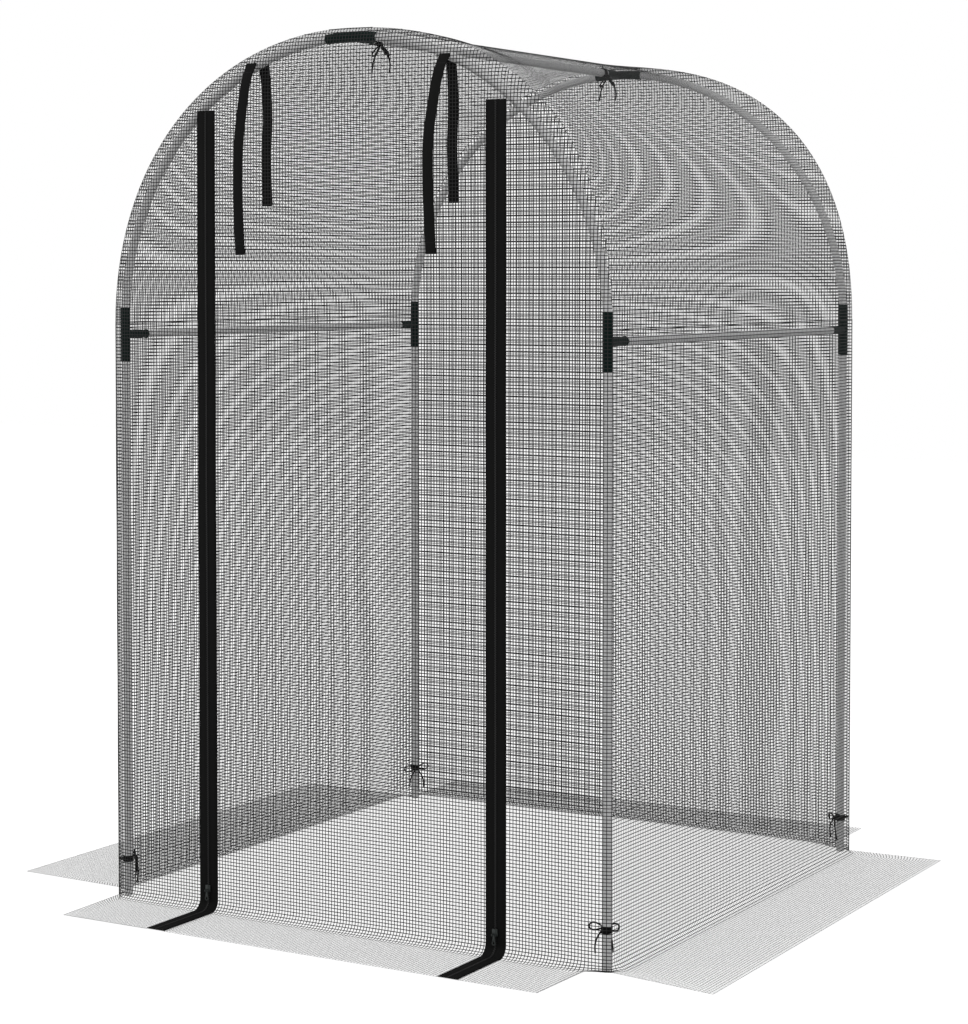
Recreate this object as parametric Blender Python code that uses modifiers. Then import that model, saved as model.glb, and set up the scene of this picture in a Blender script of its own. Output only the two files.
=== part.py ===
"""Arched fruit cage: a plug-together tube frame under a net cover with a zipped front door.

Lengths are in metres, +Z is up and the door faces -Y. The origin is on the ground, under the
middle of the whole footprint, ground flaps included. The posts stand in a square that is
centred on an empty named cage_centre, and every place below is measured from that empty.
"""

import math

import bmesh
import bpy
from mathutils import Matrix, Vector

# Fits
GAP = 0.0003                # clearance between neighbouring pieces
OVERRUN = 0.002             # how far a cutter runs past what it cuts
WELD = 0.00001              # corners closer than this are one corner

# Frame
POST_SPACING = 1.16         # post centre to post centre, both ways
TEE_HEIGHT = 1.206          # middle of the side tees
SPRING_RISE = 0.024         # from there to where the hoops start to bend
TUBE_DIAMETER = 0.018       # posts, hoops and ridge
RAIL_DIAMETER = 0.0165      # side rails
TUBE_WALL = 0.001
TUBE_SIDES = 12
HOOP_STEPS = 9              # facets along a quarter hoop below its apex fitting
APEX_STEPS = 2              # facets inside one arm of the apex fitting

# Push-on fittings
SLEEVE_DIAMETER = 0.0215
SLEEVE_ARM = 0.0575         # middle of a side tee to either end of its sleeve
APEX_ARM = 0.06             # the same along the hoop on an apex tee
BRANCH_REACH = 0.07         # sleeve axis to the open end of the branch
RAIL_SLEEVE_DIAMETER = 0.02
TUBE_STOP = 0.004           # tube end to tube end across the web inside a sleeve

# Net cover
END_STAND = 0.024           # tube centre to the middle of the net, on the end walls
ROOF_STAND = 0.024          # the same at the corners of the faceted roof
NET_THICKNESS = 0.003
STRAND = 0.008              # width of one modelled strand
NET_PITCH = 0.205           # widest spacing of the modelled strands
ROOF_PITCH = 0.19           # the same round the bend of the roof
LEFT_FLAP = 0.31215         # width of each ground flap, away from its wall
RIGHT_FLAP = 0.22765
FRONT_FLAP = 0.181
REAR_FLAP = 0.217
LEFT_FLAP_INSET = 0.065     # how far short of the corner a flap starts
RIGHT_FLAP_INSET = 0.006
FRONT_FLAP_INSET = 0.0465
REAR_FLAP_INSET = 0.0565

# Zips
ZIP_SPREAD = 0.348          # middle of the door to the middle of a zip
ZIP_WIDTH = 0.045
ZIP_CORNER_DROP = 0.00324   # hoop centre line down to the outer top corner of a zip
ZIP_THICKNESS = 0.002
ZIP_TAIL = 0.17             # length of zip tape that lies on the ground
ZIP_BEND = 0.012
BEND_STEPS = 4

# Zip slider and pull
SLIDER_HEIGHT = 0.048       # middle of the slider above the ground, zip closed
SLIDER_WIDTH = 0.012
SLIDER_LENGTH = 0.014
SLIDER_THICKNESS = 0.003
SLIDER_ROUND = 0.0006
LUG_WIDTH = 0.0015
LUG_LENGTH = 0.0045
LUG_SPREAD = 0.0042         # middle of the slider to the middle of a lug
PIN_RADIUS = 0.0009
PIN_STAND = 0.003           # slider face to pin centre
PIN_DROP = 0.0045           # slider middle down to pin centre
PULL_WIDTH = 0.0055
PULL_LENGTH = 0.021
PULL_THICKNESS = 0.0014
EYE_RADIUS = 0.0021
PIN_SIDES = 8

# Door straps
STRAP_WIDTH = 0.024
STRAP_THICKNESS = 0.002
OUTER_STRAP_SPREAD = 0.234
OUTER_STRAP_INSET = 0.003   # edge of the arch down to the strap's sewn top
OUTER_STRAP_DROP = 0.397
OUTER_STRAP_BULGE = 0.0645
OUTER_STRAP_SHARES = (      # down and out, as shares of the drop and the bulge
    (0, 0), (0.03, 0), (0.12, 0.34), (0.25, 0.7), (0.42, 0.93), (0.56, 1), (0.8, 0.94), (1, 0.83))
INNER_STRAP_SPREAD = 0.224
INNER_STRAP_TOP = 0.005     # strap top above the hoop centre line
INNER_STRAP_DROP = 0.293
INNER_STRAP_BULGE = 0.0105
INNER_STRAP_SHARES = ((0, 0), (0.04, 0), (0.3, 0.75), (0.6, 1), (1, 0.9))

# Ties
TIE_HEIGHT = 0.079          # middle of a corner tie above the ground
RIDGE_TIE_INSET = 0.085     # hoop to the middle of a ridge tie
WRAP_THICKNESS = 0.0014
WRAP_HEIGHT = 0.015
TAB_HEIGHT = 0.01
TAB_THICKNESS = 0.002
CORD_RADIUS = 0.0018
CORD_SIDES = 6
KNOT_RADIUS = 0.006
KNOT_REACH = 0.0155         # tube centre to knot centre
KNOT_SEGMENTS = 8
LOOP_REACH = 0.0305         # knot centre to the far end of a loop
LOOP_WIDTH = 0.009
LOOP_POINTS = 8
RIDGE_KNOT_ANGLE = math.radians(-33)
LOOP_DROOP = math.radians(52)
TAIL_LENGTH = 0.052
TAIL_SPREAD = math.radians(20)
RIDGE_TAIL_LENGTH = 0.062
TAIL_BEND_SHARE = 0.08

ENDS = (("front", -1), ("rear", 1))
SIDES = (("left", -1), ("right", 1))
CORNERS = {"front_left": (-1, -1), "front_right": (1, -1), "rear_left": (-1, 1), "rear_right": (1, 1)}
ROUNDED_BELOW = math.radians(40)    # facets that meet at less than this are shaded as one surface

HALF = POST_SPACING / 2
SPRING_HEIGHT = TEE_HEIGHT + SPRING_RISE
TUBE_RADIUS = TUBE_DIAMETER / 2
RAIL_RADIUS = RAIL_DIAMETER / 2
END_PLANE = HALF + END_STAND                            # middle of the net on the front and rear walls
END_OUTER = END_PLANE + NET_THICKNESS / 2
END_INNER = END_PLANE - NET_THICKNESS / 2
SIDE_INNER = HALF + SLEEVE_DIAMETER / 2 + 2 * GAP       # the side walls hang straight down over the tees
SIDE_PLANE = SIDE_INNER + NET_THICKNESS / 2
SIDE_OUTER = SIDE_INNER + NET_THICKNESS
WALL_TOP = max(TEE_HEIGHT + SLEEVE_ARM, SPRING_HEIGHT) + GAP
ROOF_RADIUS = HALF + ROOF_STAND
ROOF_STEPS = 2 * math.ceil(math.pi * ROOF_RADIUS / ROOF_PITCH / 2)
ROOF_STEP = math.pi / ROOF_STEPS
ZIP_TOP = SPRING_HEIGHT + math.sqrt(HALF ** 2 - (ZIP_SPREAD + ZIP_WIDTH / 2) ** 2) - ZIP_CORNER_DROP
PIN_HEIGHT = SLIDER_HEIGHT - PIN_DROP
PIN_FORWARD = END_OUTER + GAP + SLIDER_THICKNESS + PIN_STAND

ALONG_Y_Z = (math.radians(90), 0, math.radians(90))     # a profile's own x and y run along Y and Z
UPRIGHT = (math.radians(90), 0, 0)                      # a sheet's own x and y run along X and Z


def clear_scene():
    for item in list(bpy.data.objects):
        bpy.data.objects.remove(item)


def new_collection(name):
    made = bpy.data.collections.new(name)
    bpy.context.scene.collection.children.link(made)
    return made


clear_scene()
PARTS = new_collection("fruit_cage")
CUTTERS = new_collection("cutters")


def new_material(name, colour, roughness, metallic):
    made = bpy.data.materials.new(name)
    made.use_nodes = True
    shader = made.node_tree.nodes["Principled BSDF"]
    shader.inputs["Base Color"].default_value = (*colour, 1)
    shader.inputs["Roughness"].default_value = roughness
    shader.inputs["Metallic"].default_value = metallic
    return made


GREY_PAINT = new_material("grey_painted_steel", (0.28, 0.28, 0.28), 0.38, 0.6)
FITTING_PLASTIC = new_material("dark_green_plastic", (0.012, 0.02, 0.018), 0.5, 0)
NET_YARN = new_material("black_net", (0.02, 0.02, 0.02), 0.8, 0)
ZIP_TAPE = new_material("black_zip_tape", (0.012, 0.012, 0.012), 0.75, 0)
ZIP_METAL = new_material("black_zip_metal", (0.03, 0.035, 0.033), 0.4, 0.5)
WEBBING = new_material("black_webbing", (0.012, 0.012, 0.012), 0.8, 0)
TIE_CORD = new_material("black_cord", (0.008, 0.008, 0.008), 0.7, 0)


def new_empty(name, place, parent):
    made = bpy.data.objects.new(name, None)
    PARTS.objects.link(made)
    made.location = place
    made.parent = parent
    return made


CAGE = new_empty("cage_centre", ((LEFT_FLAP - RIGHT_FLAP) / 2, (FRONT_FLAP - REAR_FLAP) / 2, 0), None)
DOOR_HINGE = new_empty("door_hinge", (0, -END_OUTER, ZIP_TOP), CAGE)


def add_part(item, finish, parent=CAGE):
    """Put a piece that was placed in cage coordinates into the model, carried by parent."""
    PARTS.objects.link(item)
    item.data.materials.clear()
    item.data.materials.append(finish)
    item.parent = parent
    if parent is not CAGE:
        carried_at = Vector(parent.location)
        above = parent.parent
        while above is not CAGE:
            carried_at += above.location
            above = above.parent
        item.location -= carried_at
    return item


def solidify(item, thickness, offset):
    wall = item.modifiers.new("wall", "SOLIDIFY")
    wall.thickness = thickness
    wall.offset = offset
    wall.use_even_offset = True
    return item


def tube_curve(name, points, radius, sides, capped=False, cyclic=False):
    curve = bpy.data.curves.new(name, "CURVE")
    curve.dimensions = "3D"
    curve.bevel_depth = radius
    curve.bevel_resolution = sides // 2 - 2
    curve.use_fill_caps = capped
    spline = curve.splines.new("POLY")
    spline.points.add(len(points) - 1)
    for target, point in zip(spline.points, points):
        target.co = (*point, 1)
    spline.use_cyclic_u = cyclic
    return bpy.data.objects.new(name, curve)


def evaluated_mesh(item):
    """The mesh of an item that is in no collection yet, modifiers and all, with caps welded."""
    CUTTERS.objects.link(item)
    bpy.context.view_layer.update()
    depsgraph = bpy.context.evaluated_depsgraph_get()
    mesh = bpy.data.meshes.new_from_object(item.evaluated_get(depsgraph))
    CUTTERS.objects.unlink(item)
    shape = bmesh.new()
    shape.from_mesh(mesh)
    bmesh.ops.remove_doubles(shape, verts=shape.verts, dist=WELD)
    shape.to_mesh(mesh)
    shape.free()
    return mesh


def solid_rod(name, points, radius, sides=TUBE_SIDES, cyclic=False):
    """A closed rod as a mesh object, for use in Booleans."""
    rod = tube_curve(name, points, radius, sides, capped=not cyclic, cyclic=cyclic)
    mesh = evaluated_mesh(rod)
    made = bpy.data.objects.new(name, mesh)
    made.matrix_world = rod.matrix_world
    bpy.data.objects.remove(rod)
    return made


def block(name, size, centre):
    shape = bmesh.new()
    place = Matrix.Translation(centre) @ Matrix.Diagonal((*size, 1))
    bmesh.ops.create_cube(shape, size=1, matrix=place)
    mesh = bpy.data.meshes.new(name)
    shape.to_mesh(mesh)
    shape.free()
    return bpy.data.objects.new(name, mesh)


def ball(name, radius, centre):
    shape = bmesh.new()
    rings = KNOT_SEGMENTS // 2 + 1
    place = Matrix.Translation(centre)
    bmesh.ops.create_uvsphere(shape, u_segments=KNOT_SEGMENTS, v_segments=rings, radius=radius, matrix=place)
    mesh = bpy.data.meshes.new(name)
    shape.to_mesh(mesh)
    shape.free()
    return bpy.data.objects.new(name, mesh)


def combined(name, body, added, removed):
    """One plain mesh: body with the added pieces joined on and the removed ones cut out."""
    tools = [(tool, "UNION") for tool in added] + [(tool, "DIFFERENCE") for tool in removed]
    for tool, operation in tools:
        CUTTERS.objects.link(tool)
        tool.hide_render = True
        tool.display_type = "WIRE"
        cut = body.modifiers.new(tool.name, "BOOLEAN")
        cut.operation = operation
        cut.solver = "EXACT"
        cut.object = tool
    mesh = evaluated_mesh(body)
    mesh.name = name
    for tool, operation in tools:
        bpy.data.objects.remove(tool)
    bpy.data.objects.remove(body)
    return mesh


def round_shading(mesh):
    mesh.shade_smooth()
    mesh.set_sharp_from_angle(angle=ROUNDED_BELOW)
    return mesh


def hoop_point(angle):
    """A point on a hoop's centre line, in the plane of that hoop; 0 is at +X and 90 degrees is the apex."""
    return (HALF * math.cos(angle), SPRING_HEIGHT + HALF * math.sin(angle))


def spread(start, finish, steps):
    return [start + (finish - start) * step / steps for step in range(steps + 1)]


def hoop_height(x):
    return SPRING_HEIGHT + math.sqrt(HALF ** 2 - x ** 2)


def roof_corners():
    """Corners of the roof net's cross section, from the top of the right wall to that of the left."""
    corners = [Vector((SIDE_PLANE, WALL_TOP))]
    for step in range(1, ROOF_STEPS):
        angle = step * ROOF_STEP
        height = SPRING_HEIGHT + ROOF_RADIUS * math.sin(angle)
        corners.append(Vector((ROOF_RADIUS * math.cos(angle), height)))
    corners.append(Vector((-SIDE_PLANE, WALL_TOP)))
    return corners


def roof_facets():
    """A point and the outward normal of the outer face of each facet of the roof, along X and Z."""
    corners = roof_corners()
    facets = []
    for start, finish in zip(corners, corners[1:]):
        run = (finish - start).normalized()
        normal = Vector((run.y, -run.x))
        facets.append((start + normal * NET_THICKNESS / 2, normal))
    return facets


def outline_height(x):
    """Height of the end panels' faceted top edge at a distance x from the middle."""
    return min((point.dot(normal) - abs(x) * normal.x) / normal.y for point, normal in roof_facets())


def bore_radius(radius):
    """Radius of a faceted bore that clears a faceted tube at any turn."""
    return (radius + GAP) / math.cos(math.pi / TUBE_SIDES)


def make_tubes():
    """Posts, quarter hoops, side rails and ridge, all open thin-walled tubes."""
    web = TUBE_STOP / 2
    straight_end = max(TEE_HEIGHT + SLEEVE_ARM, SPRING_HEIGHT)
    bend_start = math.asin((straight_end - SPRING_HEIGHT) / HALF)
    fitting_start = math.acos(APEX_ARM / HALF)
    angles = spread(bend_start, fitting_start, HOOP_STEPS)[1:-1]
    angles += spread(fitting_start, math.acos(web / HALF), APEX_STEPS)
    bend = [hoop_point(angle) for angle in angles]
    for corner, (across, along) in CORNERS.items():
        x = across * HALF
        y = along * HALF
        post = tube_curve("post_" + corner, [(x, y, 0), (x, y, TEE_HEIGHT - web)], TUBE_RADIUS, TUBE_SIDES)
        add_part(solidify(post, TUBE_WALL, -1), GREY_PAINT)
        route = [(x, y, TEE_HEIGHT + web), (x, y, straight_end)]
        route += [(across * reach, y, height) for reach, height in bend]
        hoop = tube_curve("hoop_tube_" + corner, route, TUBE_RADIUS, TUBE_SIDES)
        add_part(solidify(hoop, TUBE_WALL, -1), GREY_PAINT)
    rail_end = HALF - SLEEVE_DIAMETER / 2 - GAP
    for side, across in SIDES:
        route = [(across * HALF, -rail_end, TEE_HEIGHT), (across * HALF, rail_end, TEE_HEIGHT)]
        rail = tube_curve("side_rail_" + side, route, RAIL_RADIUS, TUBE_SIDES)
        add_part(solidify(rail, TUBE_WALL, -1), GREY_PAINT)
    apex = SPRING_HEIGHT + HALF
    ridge = tube_curve("ridge_tube", [(0, -rail_end, apex), (0, rail_end, apex)], TUBE_RADIUS, TUBE_SIDES)
    add_part(solidify(ridge, TUBE_WALL, -1), GREY_PAINT)


def tee_mesh():
    """A side tee: upright sleeve, branch towards +Y, three blind bores with a web between them."""
    web = TUBE_STOP / 2 - GAP
    end = SLEEVE_ARM + OVERRUN
    bore = bore_radius(TUBE_RADIUS)
    branch_bore = bore_radius(RAIL_RADIUS)
    floor = SLEEVE_DIAMETER / 2
    sleeve = solid_rod("sleeve", [(0, 0, -SLEEVE_ARM), (0, 0, SLEEVE_ARM)], SLEEVE_DIAMETER / 2)
    branch = solid_rod("branch", [(0, 0, 0), (0, BRANCH_REACH, 0)], RAIL_SLEEVE_DIAMETER / 2)
    lower = solid_rod("lower_bore", [(0, 0, -end), (0, 0, -web)], bore)
    upper = solid_rod("upper_bore", [(0, 0, web), (0, 0, end)], bore)
    side = solid_rod("side_bore", [(0, floor, 0), (0, BRANCH_REACH + OVERRUN, 0)], branch_bore)
    return round_shading(combined("side_tee", sleeve, [branch], [lower, upper, side]))


def apex_mesh():
    """An apex tee: a sleeve bent with the hoop, branch towards +Y, the apex at the mesh's own zero."""
    arm = math.asin(APEX_ARM / HALF)
    web = math.asin((TUBE_STOP / 2 - GAP) / HALF)
    bore = bore_radius(TUBE_RADIUS)
    floor = SLEEVE_DIAMETER / 2
    arc = [Vector((HALF * math.sin(angle), 0, HALF * math.cos(angle) - HALF))
           for angle in spread(web, arm, APEX_STEPS)]
    past_end = arc[-1] + (arc[-1] - arc[-2]).normalized() * OVERRUN
    right_route = arc + [past_end]
    left_route = [Vector((-point.x, 0, point.z)) for point in right_route]
    outer = [Vector((-point.x, 0, point.z)) for point in reversed(arc)] + arc
    sleeve = solid_rod("sleeve", outer, SLEEVE_DIAMETER / 2)
    branch = solid_rod("branch", [(0, 0, 0), (0, BRANCH_REACH, 0)], SLEEVE_DIAMETER / 2)
    left = solid_rod("left_bore", left_route, bore)
    right = solid_rod("right_bore", right_route, bore)
    inner = solid_rod("branch_bore", [(0, floor, 0), (0, BRANCH_REACH + OVERRUN, 0)], bore)
    return round_shading(combined("apex_tee", sleeve, [branch], [left, right, inner]))


def make_fittings():
    side_tee = tee_mesh()
    for end, along in ENDS:
        for side, across in SIDES:
            tee = bpy.data.objects.new("side_tee_" + end + "_" + side, side_tee)
            tee.location = (across * HALF, along * HALF, TEE_HEIGHT)
            tee.rotation_euler = (0, 0, 0 if along < 0 else math.pi)
            add_part(tee, FITTING_PLASTIC)
    apex_tee = apex_mesh()
    for end, along in ENDS:
        tee = bpy.data.objects.new("apex_tee_" + end, apex_tee)
        tee.location = (0, along * HALF, SPRING_HEIGHT + HALF)
        tee.rotation_euler = (0, 0, 0 if along < 0 else math.pi)
        add_part(tee, FITTING_PLASTIC)


def open_gaps(shape):
    """Turn a grid into strands: each cell wide enough for a gap is inset and its middle taken out."""
    cells = [face for face in shape.faces if 2 * face.calc_area() / face.calc_perimeter() > STRAND]
    bmesh.ops.inset_individual(shape, faces=cells, thickness=STRAND / 2, use_even_offset=True)
    bmesh.ops.delete(shape, geom=cells, context="FACES")


def grid(width, height, centre, pitch):
    """A flat grid of cells no wider than pitch, in the XY plane."""
    shape = bmesh.new()
    columns = math.ceil(width / pitch)
    rows = math.ceil(height / pitch)
    place = Matrix.Translation((*centre, 0)) @ Matrix.Diagonal((width, height, 1, 1))
    bmesh.ops.create_grid(shape, x_segments=columns, y_segments=rows, size=0.5, matrix=place)
    return shape


def clip_to_arch(shape):
    """Cut a grid, in end-panel coordinates, back to the faceted outline of the roof."""
    for point, normal in roof_facets():
        everything = shape.verts[:] + shape.edges[:] + shape.faces[:]
        bmesh.ops.bisect_plane(shape, geom=everything, dist=WELD, plane_co=point.to_3d(),
                               plane_no=normal.to_3d(), clear_outer=True)


def net_object(name, shape):
    open_gaps(shape)
    mesh = bpy.data.meshes.new(name)
    shape.to_mesh(mesh)
    shape.free()
    return solidify(bpy.data.objects.new(name, mesh), NET_THICKNESS, 0)


def end_panel(name, left, right, bottom, top, along, parent=CAGE):
    """A panel of an end wall between two distances from the middle, cut to the arch where top is None."""
    highest = outline_height(0) if top is None else top
    shape = grid(right - left, highest - bottom, ((left + right) / 2, (bottom + highest) / 2), NET_PITCH)
    if top is None:
        clip_to_arch(shape)
    panel = net_object(name, shape)
    panel.location = (0, along * END_PLANE, 0)
    panel.rotation_euler = UPRIGHT
    add_part(panel, NET_YARN, parent)


def side_panel(name, across):
    length = 2 * (END_INNER - GAP)
    height = WALL_TOP - 2 * GAP
    panel = net_object(name, grid(length, height, (0, height / 2), NET_PITCH))
    panel.location = (across * SIDE_PLANE, 0, 0)
    panel.rotation_euler = ALONG_Y_Z
    add_part(panel, NET_YARN)


def roof_panel():
    """The roof net: a grid bent over the hoops in flat facets."""
    shape = bmesh.new()
    length = 2 * (END_INNER - GAP)
    columns = math.ceil(length / NET_PITCH)
    corners = roof_corners()
    place = Matrix.Translation((ROOF_STEPS / 2, 0, 0)) @ Matrix.Diagonal((ROOF_STEPS, length, 1, 1))
    bmesh.ops.create_grid(shape, x_segments=ROOF_STEPS, y_segments=columns, size=0.5, matrix=place)
    for crossing in shape.verts:
        corner = corners[ROOF_STEPS - round(crossing.co.x)]
        crossing.co.x = corner.x
        crossing.co.z = corner.y
    shape.normal_update()
    add_part(net_object("net_roof", shape), NET_YARN)


def ground_flap(name, left, right, near, far, parent=CAGE):
    """A strip of net that lies on the ground, between two places along X and two along Y."""
    shape = grid(right - left, far - near, ((left + right) / 2, (near + far) / 2), NET_PITCH)
    flap = net_object(name, shape)
    flap.location = (0, 0, NET_THICKNESS / 2)
    add_part(flap, NET_YARN, parent)


def make_net():
    door_edge = ZIP_SPREAD - ZIP_WIDTH / 2 - GAP
    fixed_edge = ZIP_SPREAD + ZIP_WIDTH / 2 + GAP
    top_edge = fixed_edge - 2 * GAP
    end_panel("net_front_left", -SIDE_OUTER, -fixed_edge, 0, None, -1)
    end_panel("net_front_right", fixed_edge, SIDE_OUTER, 0, None, -1)
    end_panel("net_front_top", -top_edge, top_edge, ZIP_TOP + GAP, None, -1)
    end_panel("net_door", -door_edge, door_edge, 0, ZIP_TOP - GAP, -1, DOOR_HINGE)
    end_panel("net_rear", -SIDE_OUTER, SIDE_OUTER, 0, None, 1)
    side_panel("net_left", -1)
    side_panel("net_right", 1)
    roof_panel()
    end = END_OUTER + GAP
    side = SIDE_OUTER + GAP
    front = -end - FRONT_FLAP
    ground_flap("flap_door", -door_edge, door_edge, front, -end, DOOR_HINGE)
    ground_flap("flap_front_left", -SIDE_OUTER, -fixed_edge, front, -end)
    ground_flap("flap_front_right", fixed_edge, SIDE_OUTER - FRONT_FLAP_INSET, front, -end)
    ground_flap("flap_right", side, side + RIGHT_FLAP, -end - RIGHT_FLAP_INSET, END_OUTER)
    ground_flap("flap_left", -side - LEFT_FLAP, -side, -END_OUTER + LEFT_FLAP_INSET, END_OUTER)
    ground_flap("flap_rear", -SIDE_OUTER, SIDE_OUTER - REAR_FLAP_INSET, end, end + REAR_FLAP)


def ribbon(name, points, width, thickness, x, finish, parent=CAGE):
    """A flat band of webbing or tape; points are places along Y and Z of the face on its left."""
    curve = bpy.data.curves.new(name, "CURVE")
    curve.dimensions = "2D"
    curve.fill_mode = "NONE"
    curve.extrude = width / 2
    spline = curve.splines.new("POLY")
    spline.points.add(len(points) - 1)
    for target, (along, height) in zip(spline.points, points):
        target.co = (along, height, 0, 1)
    band = bpy.data.objects.new(name, curve)
    band.location = (x, 0, 0)
    band.rotation_euler = ALONG_Y_Z
    return add_part(solidify(band, thickness, -1), finish, parent)


def make_zips():
    """Each zip's tape in two halves, down the wall, round the bend and out over the ground."""
    half_width = (ZIP_WIDTH - GAP) / 2
    half_centre = (ZIP_WIDTH + GAP) / 4
    bend_y = -END_OUTER - ZIP_BEND
    bend_z = ZIP_THICKNESS + ZIP_BEND
    route = [(-END_OUTER - ZIP_TAIL, ZIP_THICKNESS)]
    for step in range(BEND_STEPS + 1):
        angle = math.pi / 2 * step / BEND_STEPS
        route.append((bend_y + ZIP_BEND * math.sin(angle), bend_z - ZIP_BEND * math.cos(angle)))
    route.append((-END_OUTER, ZIP_TOP - GAP))
    for side, across in SIDES:
        door_x = across * (ZIP_SPREAD - half_centre)
        ribbon("zip_" + side + "_door_half", route, half_width, ZIP_THICKNESS, door_x, ZIP_TAPE, DOOR_HINGE)
        fixed_x = across * (ZIP_SPREAD + half_centre)
        ribbon("zip_" + side + "_fixed_half", route, half_width, ZIP_THICKNESS, fixed_x, ZIP_TAPE)


def slider_mesh():
    """A slider's front plate with two lugs and the pin that the pull hangs on, about the pin's middle."""
    plate_y = PIN_STAND + SLIDER_THICKNESS / 2
    plate = block("plate", (SLIDER_WIDTH, SLIDER_THICKNESS, SLIDER_LENGTH), (0, plate_y, PIN_DROP))
    lug_depth = PIN_STAND + EYE_RADIUS + SLIDER_THICKNESS / 2
    lug_y = PIN_STAND + SLIDER_THICKNESS / 2 - lug_depth / 2
    lug_size = (LUG_WIDTH, lug_depth, LUG_LENGTH)
    lugs = [block("lug", lug_size, (across * LUG_SPREAD, lug_y, 0)) for across in (-1, 1)]
    pin = solid_rod("pin", [(-LUG_SPREAD, 0, 0), (LUG_SPREAD, 0, 0)], PIN_RADIUS, PIN_SIDES)
    rounding = plate.modifiers.new("rounding", "BEVEL")
    rounding.width = SLIDER_ROUND
    rounding.segments = 1
    return combined("zip_slider", plate, lugs + [pin], [])


def pull_mesh():
    """The pull tab, about the middle of its eye."""
    bore = (PIN_RADIUS + GAP) / math.cos(math.pi / PIN_SIDES)
    half = PULL_WIDTH / 2
    tab = block("tab", (PULL_WIDTH, PULL_THICKNESS, PULL_LENGTH), (0, 0, -PULL_LENGTH / 2))
    eye = solid_rod("eye", [(-half, 0, 0), (half, 0, 0)], EYE_RADIUS, PIN_SIDES)
    hole = solid_rod("hole", [(-half - OVERRUN, 0, 0), (half + OVERRUN, 0, 0)], bore, PIN_SIDES)
    return round_shading(combined("zip_pull", tab, [eye], [hole]))


def make_sliders():
    slider_shape = slider_mesh()
    pull_shape = pull_mesh()
    for side, across in SIDES:
        pin = (across * ZIP_SPREAD, -PIN_FORWARD, PIN_HEIGHT)
        on_door = Vector(pin) - DOOR_HINGE.location
        pivot = new_empty("zip_pull_pivot_" + side, on_door, DOOR_HINGE)
        for name, shape in (("zip_slider_", slider_shape), ("zip_pull_", pull_shape)):
            item = bpy.data.objects.new(name + side, shape)
            item.location = pin
            add_part(item, ZIP_METAL, pivot)


def make_straps():
    """Outer straps hang in front of the door net, inner ones behind it; both swing about their tops."""
    outer_back = -END_OUTER - GAP
    outer_top = outline_height(OUTER_STRAP_SPREAD + STRAP_WIDTH / 2) - OUTER_STRAP_INSET
    inner_face = -HALF + TUBE_RADIUS + GAP
    inner_top = hoop_height(INNER_STRAP_SPREAD) + INNER_STRAP_TOP
    for side, across in SIDES:
        place = (across * OUTER_STRAP_SPREAD, outer_back, outer_top)
        pivot = new_empty("strap_outer_pivot_" + side, place, CAGE)
        route = [(outer_back - out * OUTER_STRAP_BULGE, outer_top - down * OUTER_STRAP_DROP)
                 for down, out in OUTER_STRAP_SHARES]
        ribbon("strap_outer_" + side, route, STRAP_WIDTH, STRAP_THICKNESS, place[0], WEBBING, pivot)
        place = (across * INNER_STRAP_SPREAD, inner_face, inner_top)
        pivot = new_empty("strap_inner_pivot_" + side, place, CAGE)
        route = [(inner_face + out * INNER_STRAP_BULGE, inner_top - down * INNER_STRAP_DROP)
                 for down, out in reversed(INNER_STRAP_SHARES)]
        ribbon("strap_inner_" + side, route, STRAP_WIDTH, STRAP_THICKNESS, place[0], WEBBING, pivot)


def loop_points(knot, direction, flat):
    """Points round a flattened loop that starts in the knot and reaches out along direction."""
    half_length = LOOP_REACH / 2
    half_width = LOOP_WIDTH / 2
    centre = knot + direction * half_length
    points = []
    for step in range(LOOP_POINTS):
        turn = math.tau * step / LOOP_POINTS
        points.append(centre + direction * half_length * math.cos(turn) + flat * half_width * math.sin(turn))
    return points


def tail_points(knot, direction, length, bend):
    """A hanging tail: three points on a slight curve."""
    middle = knot + direction * length / 2 + bend * length * TAIL_BEND_SHARE
    return [knot, middle, knot + direction * length]


def tie_mesh(name, knot_angle, tab_angle, tab_reach, loops, tails, tail_length, flat):
    """A tie round a tube along the mesh's own Z: wrap, sewn tab, knot, two loops and two tails."""
    bore = bore_radius(TUBE_RADIUS)
    half_height = WRAP_HEIGHT / 2
    past_end = half_height + OVERRUN
    wrap = solid_rod("wrap", [(0, 0, -half_height), (0, 0, half_height)], bore + WRAP_THICKNESS)
    tube_hole = solid_rod("tube_hole", [(0, 0, -past_end), (0, 0, past_end)], bore)
    tab = block("tab", (tab_reach, TAB_THICKNESS, TAB_HEIGHT), (tab_reach / 2, 0, 0))
    tab.data.transform(Matrix.Rotation(tab_angle, 4, "Z"))
    knot_centre = Vector((math.cos(knot_angle), math.sin(knot_angle), 0)) * KNOT_REACH
    added = [tab, ball("knot", KNOT_RADIUS, knot_centre)]
    for direction in loops:
        points = loop_points(knot_centre, direction, flat)
        added.append(solid_rod("loop", points, CORD_RADIUS, CORD_SIDES, cyclic=True))
    for direction, bend in tails:
        points = tail_points(knot_centre, direction, tail_length, bend)
        added.append(solid_rod("tail", points, CORD_RADIUS, CORD_SIDES))
    return round_shading(combined(name, wrap, added, [tube_hole]))


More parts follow.
